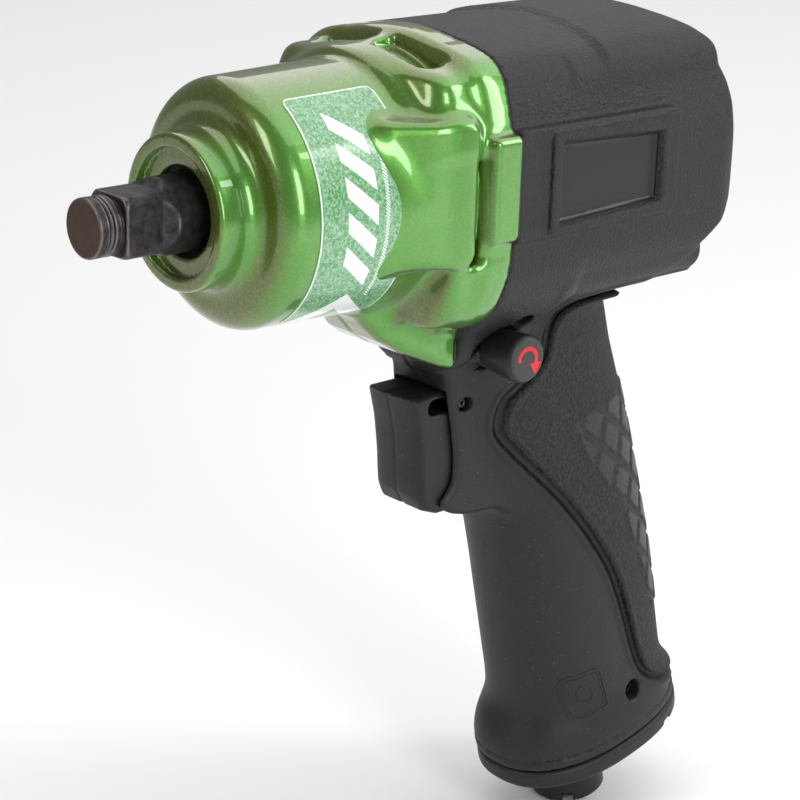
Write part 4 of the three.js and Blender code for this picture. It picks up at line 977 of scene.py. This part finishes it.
def black_rubber():
    """Plain seal rubber, patchy in tone and gloss."""
    s = Shader("black_rubber")
    drift = s.noise(300, 3)
    tone = s.blend(drift, (0.008, 0.008, 0.008), (0.022, 0.022, 0.022))
    return s.finish(Base_Color=tone, Roughness=0.45 + drift * 0.2, Normal=s.bump(drift, 0.00005, 0.4))


def drive_steel():
    """Phosphated steel: dark and faintly purple, brighter and smoother on worn edges, bronze at the tip."""
    s = Shader("drive_steel")
    wear = s.mark("wear")
    blotch = s.noise(420, 5, 0.65)
    fine = s.noise(3500, 2)
    tip = 1.0 - s.axis("Y").above(0.00012, 0.0003)
    base = s.blend(blotch.above(0.35, 0.4), (0.020, 0.018, 0.020), (0.075, 0.068, 0.074))
    base = s.blend(tip * 0.75, base, (0.085, 0.052, 0.030))
    worn = (wear.above(0.3, 0.6) * (blotch * 0.7 + 0.3)).least(1.0)
    tone = s.blend(worn, base, (0.24, 0.21, 0.20))
    rough = 0.42 - worn * 0.14 + fine * 0.12
    return s.finish(Base_Color=tone, Metallic=0.9, Roughness=rough,
                    Normal=s.bump(blotch + fine * 0.6, 0.00006, 0.5))


def machined(name, colour, roughness, per_metre=2400):
    """Machined metal: a fine tool grain, with light stains in colour and gloss."""
    s = Shader(name)
    stain = s.noise(90, 4)
    grain = s.noise(per_metre, 2)
    dark = tuple(c * 0.72 for c in colour)
    tone = s.blend(stain, dark, colour)
    return s.finish(Base_Color=tone, Metallic=1.0, Roughness=roughness + grain * 0.15,
                    Normal=s.bump(grain, 0.00003, 0.4))


def fibre(name, colour, per_metre=1500):
    """Pressed fibre: mottled colour and a matt, slightly rough face."""
    s = Shader(name)
    mottle = s.noise(per_metre, 4, 0.7)
    dark = tuple(c * 0.6 for c in colour)
    return s.finish(Base_Color=s.blend(mottle, dark, colour), Roughness=0.85,
                    Normal=s.bump(mottle, 0.0001, 0.6))


def label_film():
    """Speckled green film with a bright edge, plain slanted bars, a row of dashes and a wedge."""
    s = Shader("label_film")
    across = s.mark("across")
    round_it = s.mark("round")
    edge = s.mark("edge")
    speck = s.noise(1500, 3, 0.75).above(0.42, 0.22)
    film = s.blend(speck, (0.07, 0.28, 0.08), (0.34, 0.52, 0.38))
    slant = round_it + across * 0.35
    stripe = (slant * 4.0).maths("FRACT")
    bar = stripe.within(0.14, 0.72, 0.03)
    span = across.within(-0.42, 0.24, 0.02)
    ends = slant.within(-0.52, 0.71, 0.005)
    wedge = ((across.absolute() * 0.4 + round_it + 0.62) * -1.0).within(0.0, 0.2, 0.01)
    print_white = bar * span * ends
    line = across.within(0.42, 0.50, 0.02)
    dash = (slant * 42.0).maths("FRACT").above(0.45, 0.08)
    print_white = print_white.most(line * dash * ends).most(wedge)
    rim = 1.0 - edge.above(0.25, 0.12)
    tone = s.blend(print_white, film, (0.86, 0.90, 0.88))
    tone = s.blend(rim, tone, (0.80, 0.88, 0.82))
    return s.finish(Base_Color=tone, Roughness=0.26, Coat_Weight=0.6, Coat_Roughness=0.08,
                    Normal=s.bump(speck, 0.00002, 0.3))


def button_face(arrow_colour):
    """Black button whose grey end carries a turning arrow, slightly proud.

    The arrow is a ring, open at its lower front, whose lower rear end widens into a head.
    """
    s, grain, drift, tone = moulded("button_face", (0.012, 0.012, 0.013), 0.0005)
    y = s.axis("Y") - BUTTON_Y * MM
    z = s.axis("Z") - BUTTON_Z * MM
    fall = z * -1.0
    radius = (y * y + z * z).maths("SQRT")
    end = s.axis("X").absolute().above((high("reverse_button_left", 0) - 0.35) * MM, 0.0002)
    end = end.most((s.axis("X") * -1.0).above((-low("reverse_button_right", 0) - 0.35) * MM, 0.0002))
    face = end * (1.0 - radius.above(0.0050, 0.0003))
    band = radius.within(0.00215, 0.00305, 0.0001)
    open_part = (fall - y * 0.2).above(0.0006, 0.0001) * (1.0 - y.above(0.0012, 0.0001))
    ring = band * (1.0 - open_part) * (1.0 - fall.above(0.0012, 0.0001))
    head_width = 0.0018 - (fall - 0.0009) * 0.62
    head = (head_width - (y - 0.0024).absolute()).above(0.0, 0.0001) * fall.within(0.0009, 0.0036, 0.0001)
    arrow = ring.most(head) * face
    tone = s.blend(face * 0.85, tone, (0.045, 0.045, 0.047))
    tone = s.blend(arrow, tone, arrow_colour)
    surface = s.bump(arrow, 0.0002, 0.8, s.bump(grain, 0.00006, 0.4))
    return s.finish(Base_Color=tone, Roughness=0.40 + drift * 0.12 - arrow * 0.1,
                    Specular_IOR_Level=0.34, Normal=surface)


# ---------------------------------------------------------------- sizes a user may change

class WrenchSizes(bpy.types.PropertyGroup):
    """Sizes and colours that the panel shows"""
    fineness: bpy.props.FloatProperty(
        name="Fineness", description="Multiplies the mesh spacing of every skin", default=1.0,
        min=0.5, max=3.0)
    label_lift: bpy.props.FloatProperty(
        name="Label lift", description="Height of the label above the barrel, in millimetres",
        default=0.22)
    paint_colour: bpy.props.FloatVectorProperty(
        name="Paint colour", description="Colour of the hammer case seen from the side",
        size=3, subtype="COLOR", default=(0.085, 0.30, 0.04))
    plastic_colour: bpy.props.FloatVectorProperty(
        name="Plastic colour", description="Colour of the motor housing and the base plate",
        size=3, subtype="COLOR", default=(0.012, 0.012, 0.013))
    arrow_colour: bpy.props.FloatVectorProperty(
        name="Arrow colour", description="Colour of the arrows on the reverse buttons",
        size=3, subtype="COLOR", default=(0.75, 0.012, 0.02))
    floor_colour: bpy.props.FloatVectorProperty(
        name="Floor colour", description="Colour of the floor",
        size=3, subtype="COLOR", default=(0.86, 0.86, 0.86))
    lens: bpy.props.FloatProperty(
        name="Lens", description="Focal length of the view, in millimetres", default=99.0)
    camera_place: bpy.props.FloatVectorProperty(
        name="Camera place", description="Where the camera stands",
        size=3, subtype="TRANSLATION", unit="LENGTH", default=(0.350537, -0.236868, 0.109904))
    camera_turn: bpy.props.FloatVectorProperty(
        name="Camera turn", description="Azimuth, elevation and roll of the view, in degrees",
        size=3, default=(47.37, 18.9, 1.8))


# ---------------------------------------------------------------- operators

class WRENCH_OT_stage(bpy.types.Operator):
    """Camera, floor and soft studio lights"""
    bl_idname = "wrench.stage"
    bl_label = "Stage"
    bl_options = {"REGISTER", "UNDO"}

    def execute(self, context):
        size = context.scene.wrench_sizes
        self.camera(size)
        self.floor(size)
        self.world()
        self.lamps()
        return {"FINISHED"}

    def camera(self, size):
        """A camera whose back, right and up directions come from azimuth and elevation, then rolled."""
        a, e, roll = np.radians(size.camera_turn)
        back = np.array([np.sin(a) * np.cos(e), -np.cos(a) * np.cos(e), np.sin(e)])
        right = np.array([np.cos(a), np.sin(a), 0])
        up = np.cross(back, right)
        turned_right = np.cos(roll) * right + np.sin(roll) * up
        turned_up = np.cos(roll) * up - np.sin(roll) * right
        camera = bpy.data.objects.new("camera", bpy.data.cameras.new("camera"))
        camera.data.lens = size.lens
        camera.data.sensor_width = 36
        camera.data.clip_start = 0.01
        rows = np.eye(4)
        rows[:3] = np.stack([turned_right, turned_up, back, size.camera_place], -1)
        camera.matrix_world = Matrix(rows.tolist())
        bpy.context.scene.collection.objects.link(camera)
        bpy.context.scene.camera = camera

    def floor(self, size):
        """A wide pale floor just below the object, on which the inlet stands."""
        ground = CAD_BOX[0][2] - 0.0004
        reach = 6.0
        mesh = bpy.data.meshes.new("floor")
        corners = [(reach * i, reach * j, ground) for i, j in ((-1, -1), (1, -1), (1, 1), (-1, 1))]
        mesh.from_pydata(corners, [], [(0, 1, 2, 3)])
        floor = bpy.data.objects.new("floor", mesh)
        bpy.context.scene.collection.objects.link(floor)
        s = Shader("floor")
        tone = s.blend(s.noise(3, 2) * 0.2, tuple(size.floor_colour), (0.9, 0.9, 0.9))
        mesh.materials.append(s.finish(Base_Color=tone, Roughness=0.9))

    def world(self):
        """A dim white surround, with colours shown as they are."""
        bpy.context.scene.view_settings.view_transform = "Standard"
        world = bpy.data.worlds.new("studio")
        world.use_nodes = True
        background = world.node_tree.nodes["Background"]
        background.inputs["Color"].default_value = (1.0, 1.0, 1.0, 1.0)
        background.inputs["Strength"].default_value = 0.22
        bpy.context.scene.world = world

    def lamps(self):
        """Rectangular lamps aimed at the middle of the object: place, width, height and power."""
        aim = Vector((0.0, 0.09, -0.06))
        lamps = (
            ("ceiling", (-0.4, 0.9, 1.9), 3.6, 3.6, 62.0),
            ("window", (0.75, -0.05, 0.22), 0.26, 0.50, 3.2),
            ("front", (-0.10, -0.80, 0.42), 0.26, 0.45, 2.4),
            ("behind", (0.55, 0.75, 0.35), 0.26, 0.60, 3.5),
        )
        for name, at, width, height, power in lamps:
            data = bpy.data.lights.new(name, "AREA")
            data.shape = "RECTANGLE"
            data.size, data.size_y, data.energy = width, height, power
            lamp = bpy.data.objects.new(name, data)
            lamp.location = at
            lamp.rotation_euler = (aim - Vector(at)).to_track_quat("-Z", "Y").to_euler()
            bpy.context.scene.collection.objects.link(lamp)


class WRENCH_OT_case(bpy.types.Operator):
    """Green hammer case and the gasket behind it"""
    bl_idname = "wrench.case"
    bl_label = "Hammer case"
    bl_options = {"REGISTER", "UNDO"}

    def execute(self, context):
        size = context.scene.wrench_sizes
        lo, hi = (-BAND - 1, NOSE - 1, -45), (BAND + 1, PARTING + 1, TOP + 2)
        add_skin("hammer_case_shell", case_field, lo, hi, 0.66 * size.fineness, "housing",
                 ["hammer_case"], green_paint(tuple(size.paint_colour)))
        self.gasket()
        return {"FINISHED"}

    def gasket(self):
        """A flat ring whose outside is found by walking inwards along rays to the case."""
        columns = 360
        angle = 2 * np.pi * np.arange(columns) / columns
        direction = np.stack([np.cos(angle), 0 * angle, np.sin(angle)], -1)
        reach = np.full(columns, 60.0)
        for _ in range(40):
            at = direction * reach[:, None] + [0, PARTING - 0.3, 0]
            reach -= 0.8 * case_outside(at)
        reach -= 0.35
        lo_y, hi_y = low("case_gasket", 1), high("case_gasket", 1)
        hole = np.full(columns, 25.8)
        rows = [(reach, lo_y), (reach, hi_y), (hole, hi_y), (hole, lo_y)]
        p = np.concatenate([direction * r[:, None] + [0, y, 0] for r, y in rows])
        faces = sheet_faces(4, columns, closed_rows=True)
        add_piece("case_gasket_ring", p, faces, "housing", ["case_gasket"],
                  fibre("gasket_paper", (0.045, 0.05, 0.055)))


class WRENCH_OT_label(bpy.types.Operator):
    """Film label laid round the barrel's left side"""
    bl_idname = "wrench.label"
    bl_label = "Side label"
    bl_options = {"REGISTER", "UNDO"}

    def execute(self, context):
        size = context.scene.wrench_sizes
        self.film(size.label_lift)
        return {"FINISHED"}

    def film(self, lift):
        """Point at shares (u, v): its angle grows with u, its y with v; u narrows to round corners."""
        rows, columns = 60, 160
        corner = 0.16
        v = np.linspace(-1, 1, rows)[:, None]
        u = np.linspace(-1, 1, columns)[None]
        nearness = np.clip((np.abs(v) - (1 - corner)) / corner, 0, 1)
        narrow = 1 - 0.055 * (1 - np.sqrt(1 - nearness**2))
        half = np.radians(61)
        angle = u * half * narrow
        y = (LABEL_FRONT + LABEL_REAR) / 2 + v * (LABEL_REAR - LABEL_FRONT) / 2 + 0 * u
        layers = []
        for height in (lift, 0.04):
            radius = barrel_radius(y) + height
            layers.append(np.stack([radius * np.cos(angle), y, radius * np.sin(angle)], -1).reshape(-1, 3))
        p = np.concatenate(layers)
        face = sheet_faces(rows, columns, closed_columns=False)
        count = rows * columns
        i, j = np.arange(rows), np.arange(columns)
        right, left = i[1:] * columns + columns - 1, i[::-1][1:-1] * columns
        loop = np.concatenate([j, right, (rows - 1) * columns + j[::-1][1:], left])
        after = np.roll(loop, -1)
        wall = np.stack([loop, loop + count, after + count, after], -1)
        to_edge = np.minimum((1 - np.abs(v)) * 11.7, (1 - np.abs(u)) * 29)
        shares = {"round": u + 0 * v, "across": v + 0 * u, "edge": to_edge}
        marks = {name: np.tile(share.ravel(), 2) for name, share in shares.items()}
        add_piece("side_label_film", p, [face[:, ::-1], face + count, wall], "housing", ["side_label"],
                  label_film(), marks=marks)


class WRENCH_OT_drive(bpy.types.Operator):
    """Anvil, its friction ring, and the seal round it"""
    bl_idname = "wrench.drive"
    bl_label = "Drive end"
    bl_options = {"REGISTER", "UNDO"}

    def execute(self, context):
        size = context.scene.wrench_sizes
        lo, hi = (-13.5, -0.5, -13.5), (13.5, 80.5, 13.5)
        add_skin("anvil_bar", anvil_field, lo, hi, 0.38 * size.fineness, "anvil", ["anvil"],
                 drive_steel(), {"wear": lambda p: sharpness(anvil_field, p)})
        self.ring()
        self.seal()
        return {"FINISHED"}

    def ring(self):
        """A round wire carried along an open arc in the pilot's groove."""
        sides = 10
        angle = np.radians(np.linspace(-76, 256, 90))
        path = np.stack([5.7 * np.cos(angle), 2.9 + 0 * angle, 5.7 * np.sin(angle)], -1)
        p, faces = tube(path, 0.5, sides, closed=False)
        ends = [np.arange(sides)[None], (len(path) - 1) * sides + np.arange(sides)[None, ::-1]]
        orient(add_piece("friction_ring", p, [faces, *ends], "anvil", ["socket_retaining_ring"],
                         machined("ring_steel", (0.16, 0.145, 0.145), 0.3)))

    def seal(self):
        """A lipped section of (radius, distance rearwards) turned about the drive axis."""
        back, front = 27.3, 25.95
        inner, outer = 8.45, 10.95
        profile = rounded([(inner, back), (outer, back), (outer, front + 0.4), (10.2, front),
                           (9.2, front + 0.9), (inner, front + 0.5), (inner, back)], 0.35)
        p, quads, triangles = turned(profile[:-1])
        orient(add_piece("oil_seal", about_y(p), [quads, triangles], "housing", ["anvil_oil_seal"],
                         black_rubber()))


class WRENCH_OT_housing(bpy.types.Operator):
    """Motor housing with its handle and the emblem on it"""
    bl_idname = "wrench.housing"
    bl_label = "Housing"
    bl_options = {"REGISTER", "UNDO"}

    def execute(self, context):
        size = context.scene.wrench_sizes
        lo, hi = (-BAND - 1, BODY_FRONT - 1, -161), (BAND + 1, 184, TOP + 2.4)
        plastic = housing_plastic(tuple(size.plastic_colour))
        add_skin("housing_shell", housing_field, lo, hi, 0.86 * size.fineness, "housing", ["motor_housing"],
                 plastic)
        self.emblem(plastic)
        return {"FINISHED"}

    def emblem(self, plastic):
        """Two rounded-square beads and a plain ring, pressed onto the handle's left side."""
        beads = (("outer", 6.0, 7.0, 0.24), ("inner", 5.1, 7.0, 0.14), ("dot", 2.3, 2.0, 0.2))
        for name, half, power, radius in beads:
            t = np.linspace(0, 2 * np.pi, 120, endpoint=False)
            scale = (np.abs(np.cos(t)) ** power + np.abs(np.sin(t)) ** power) ** (-1 / power)
            along, up = 0.94 * half * scale * np.cos(t), half * scale * np.sin(t)
            points = from_handle(np.full(t.shape, 30.0), along - 12.6 - 0.12 * up, up + 18.0)
            for _ in range(30):
                points[:, 0] -= 0.8 * housing_core(points)
            points[:, 0] -= 0.02
            p, faces = tube(points, radius, 8)
            orient(add_piece("emblem_" + name, p, faces, "housing", [], plastic))


class WRENCH_OT_grip(bpy.types.Operator):
    """Rubber grip moulded over the handle"""
    bl_idname = "wrench.grip"
    bl_label = "Grip"
    bl_options = {"REGISTER", "UNDO"}

    def execute(self, context):
        size = context.scene.wrench_sizes
        lo, hi = (-27, 100, -146), (27, 182, -27)
        add_skin("grip_skin", grip_field, lo, hi, 0.6 * size.fineness, "housing", ["grip_overmould"],
                 grip_rubber(), {"tile": tile_mark, "patch": tile_patch})
        return {"FINISHED"}


class WRENCH_OT_trigger(bpy.types.Operator):
    """Trigger and the roll pin that keeps it"""
    bl_idname = "wrench.trigger"
    bl_label = "Trigger"
    bl_options = {"REGISTER", "UNDO"}

    def execute(self, context):
        size = context.scene.wrench_sizes
        lo, hi = (-9, TRIGGER_FRONT - 1, TRIGGER_BOTTOM - 1), (9, PIN_Y + 2, TRIGGER_TOP + 1)
        add_skin("trigger_lever", trigger_field, lo, hi, 0.42 * size.fineness, "trigger", ["trigger"],
                 satin_plastic("trigger_plastic"))
        profile = rounded([(0.45, -9.3), (1.2, -9.3), (1.2, 9.3), (0.45, 9.3), (0.45, -9.3)], 0.25)
        p, quads, triangles = turned(profile[:-1], 32)
        steel = machined("pin_steel", (0.10, 0.10, 0.11), 0.35)
        orient(add_piece("roll_pin", about_x(p, PIN_Y, PIN_Z), [quads, triangles], "housing",
                         ["trigger_roll_pin"], steel))
        return {"FINISHED"}


class WRENCH_OT_buttons(bpy.types.Operator):
    """The two ends of the reverse valve"""
    bl_idname = "wrench.buttons"
    bl_label = "Reverse buttons"
    bl_options = {"REGISTER", "UNDO"}

    def execute(self, context):
        size = context.scene.wrench_sizes
        finish = button_face(tuple(size.arrow_colour))
        for node, side in (("reverse_button_left", 1), ("reverse_button_right", -1)):
            ends = (low(node, 0), high(node, 0))
            root, face = (ends[0], ends[1]) if side > 0 else (-ends[1], -ends[0])
            profile = rounded([(0, root), (4.9, root), (5.65, face - 0.9), (4.7, face), (0, face)], 0.7, 6)
            p, quads, triangles = turned(profile)
            points = about_x(p, BUTTON_Y, BUTTON_Z)
            points[:, 0] *= side
            orient(add_piece(node + "_cap", points, [quads, triangles], "reverse_valve", [node],
                             finish))
        return {"FINISHED"}


class WRENCH_OT_base(bpy.types.Operator):
    """Base plate, its gasket and the air inlet"""
    bl_idname = "wrench.base"
    bl_label = "Base"
    bl_options = {"REGISTER", "UNDO"}

    def execute(self, context):
        size = context.scene.wrench_sizes
        lo, hi = (-21, 118, -168), (21, 187, -143)
        add_skin("base_cover", plate_field, lo, hi, 0.55 * size.fineness, "housing", ["base_plate"],
                 satin_plastic("base_plastic", tuple(size.plastic_colour), 0.46))
        lo, hi = (-10.5, 133, -177), (10.5, 163, -136)
        add_skin("inlet_sleeve", bushing_field, lo, hi, 0.5 * size.fineness, "housing", ["inlet_bushing"],
                 satin_plastic("inlet_plastic", (0.010, 0.010, 0.011), 0.36))
        self.gasket()
        return {"FINISHED"}

    def gasket(self):
        """A flat ring between two superellipses, a little inside the plate's outline."""
        columns = 200
        t = np.linspace(0, 2 * np.pi, columns, endpoint=False)
        c, s = np.cos(t), np.sin(t)
        power = 2 / HANDLE_POWER
        ring = []
        for inset, up in ((1.3, -0.6), (1.3, -0.1), (9.0, -0.1), (9.0, -0.6)):
            x = np.sign(c) * np.abs(c) ** power * (PLATE_HALF_WIDTH - inset)
            along = np.sign(s) * np.abs(s) ** power * (PLATE_HALF_LENGTH - inset) - PLATE_FORWARD
            ring.append(from_handle(x, along, 0 * t + up))
        faces = sheet_faces(4, columns, closed_rows=True)
        orient(add_piece("base_seal", np.concatenate(ring), faces, "housing", ["base_gasket"],
                         black_rubber()))


class WRENCH_OT_fasteners(bpy.types.Operator):
    """Socket-head case screws and the base screw"""
    bl_idname = "wrench.fasteners"
    bl_label = "Fasteners"
    bl_options = {"REGISTER", "UNDO"}

    def execute(self, context):
        size = context.scene.wrench_sizes
        steel = machined("black_screw", (0.035, 0.035, 0.04), 0.32, 1800)
        for number, sides in enumerate(((1, 1), (-1, 1), (-1, -1), (1, -1)), 1):
            self.case_screw(number, sides, size.fineness, steel)
        self.base_screw(size.fineness, steel)
        return {"FINISHED"}

    def case_screw(self, number, sides, fineness, steel):
        """One corner's screw: a round head with a hexagon socket, and a long plain shank."""
        node = f"case_screw_{number}"
        x0, z0 = sides[0] * SCREW_X, sides[1] * SCREW_Z
        front, rear = low(node, 1), high(node, 1)

        def screw(p):
            u, v, y = p[:, 0] - x0, p[:, 2] - z0, p[:, 1]
            r = np.hypot(u, v)
            head = extrude(r - 4.2, y, rear - 4.9, rear, 0.5)
            shank = extrude(r - 2.5, y, front, rear - 3, 0.5)
            socket = extrude(hexagon(u, v, 2.0), y, rear - 2.4, BEYOND, 0.1)
            return carve(join(head, shank, 0.4), socket, 0.25)

        lo, hi = (x0 - 4.6, front - 0.5, z0 - 4.6), (x0 + 4.6, rear + 0.5, z0 + 4.6)
        add_skin(f"case_bolt_{number}", screw, lo, hi, 0.55 * fineness, "housing", [node],
                 steel)

    def base_screw(self, fineness, steel):
        """The small screw across the handle's foot."""

        def screw(p):
            x, along, up = in_handle(p)
            u, v = along - BASE_SCREW_ALONG, up - BASE_SCREW_UP
            r = np.hypot(u, v)
            head = extrude(r - 2.45, x, 13.9, 15.7, 0.5)
            shank = extrude(r - 1.45, x, 10.2, 15, 0.3)
            socket = extrude(hexagon(u, v, 1.25), x, 14.6, BEYOND, 0.1)
            return carve(join(head, shank, 0.3), socket, 0.2)

        at = np.array([[13.0], [BASE_SCREW_ALONG], [BASE_SCREW_UP]])
        middle = from_handle(*at)[0]
        room = np.array([3.4, 3.2, 3.2])
        add_skin("base_bolt", screw, middle - room, middle + room, 0.3 * fineness, "housing",
                 ["base_screw"], steel)


class WRENCH_OT_inside(bpy.types.Operator):
    """Finishes for the working pieces inside"""
    bl_idname = "wrench.inside"
    bl_label = "Inside pieces"
    bl_options = {"REGISTER", "UNDO"}

    def execute(self, context):
        finishes = {
            "forged_steel": machined("forged_steel", (0.24, 0.23, 0.23), 0.42, 900),
            "ground_steel": machined("ground_steel", (0.62, 0.62, 0.64), 0.2),
            "motor_iron": machined("motor_iron", (0.40, 0.40, 0.41), 0.36, 1300),
            "bushing_bronze": machined("bushing_bronze", (0.55, 0.36, 0.16), 0.34),
            "spring_steel": machined("spring_steel", (0.42, 0.42, 0.44), 0.28),
            "vane_composite": fibre("vane_composite", (0.32, 0.20, 0.11), 900),
            "gasket_paper": fibre("gasket_sheet", (0.36, 0.34, 0.29)),
            "muffler_felt": fibre("muffler_felt", (0.55, 0.52, 0.45), 2200),
            "seal_rubber": black_rubber(),
        }
        slots = {row["node"]: row["material_slot"] for row in frame["record"]["subparts"]}
        for name, node in frame["nodes"].items():
            finish = finishes.get(slots[name])
            if finish and not node.hide_render:
                node.data.materials.clear()
                node.data.materials.append(finish)
        return {"FINISHED"}


class WRENCH_PT_panel(bpy.types.Panel):
    """Lists the steps that build the wrench"""
    bl_label = "Impact wrench"
    bl_idname = "WRENCH_PT_panel"
    bl_space_type = "VIEW_3D"
    bl_region_type = "UI"
    bl_category = "Wrench"

    def draw(self, context):
        for name in WrenchSizes.__annotations__:
            self.layout.prop(context.scene.wrench_sizes, name)
        for step in STEPS:
            self.layout.operator(step.bl_idname)


STEPS = (
    WRENCH_OT_stage,
    WRENCH_OT_case,
    WRENCH_OT_label,
    WRENCH_OT_drive,
    WRENCH_OT_housing,
    WRENCH_OT_grip,
    WRENCH_OT_trigger,
    WRENCH_OT_buttons,
    WRENCH_OT_base,
    WRENCH_OT_fasteners,
    WRENCH_OT_inside,
)
CLASSES = (WrenchSizes, *STEPS, WRENCH_PT_panel)


def register():
    """Adds the classes and the scene's sizes."""
    for kind in CLASSES:
        bpy.utils.register_class(kind)
    bpy.types.Scene.wrench_sizes = bpy.props.PointerProperty(type=WrenchSizes)


def unregister():
    """Takes them away again."""
    del bpy.types.Scene.wrench_sizes
    for kind in reversed(CLASSES):
        bpy.utils.unregister_class(kind)


def main():
    """Builds everything in order."""
    register()
    for step in STEPS:
        getattr(bpy.ops.wrench, step.bl_idname.split(".")[1])()


if __name__ == "__main__":
    main()
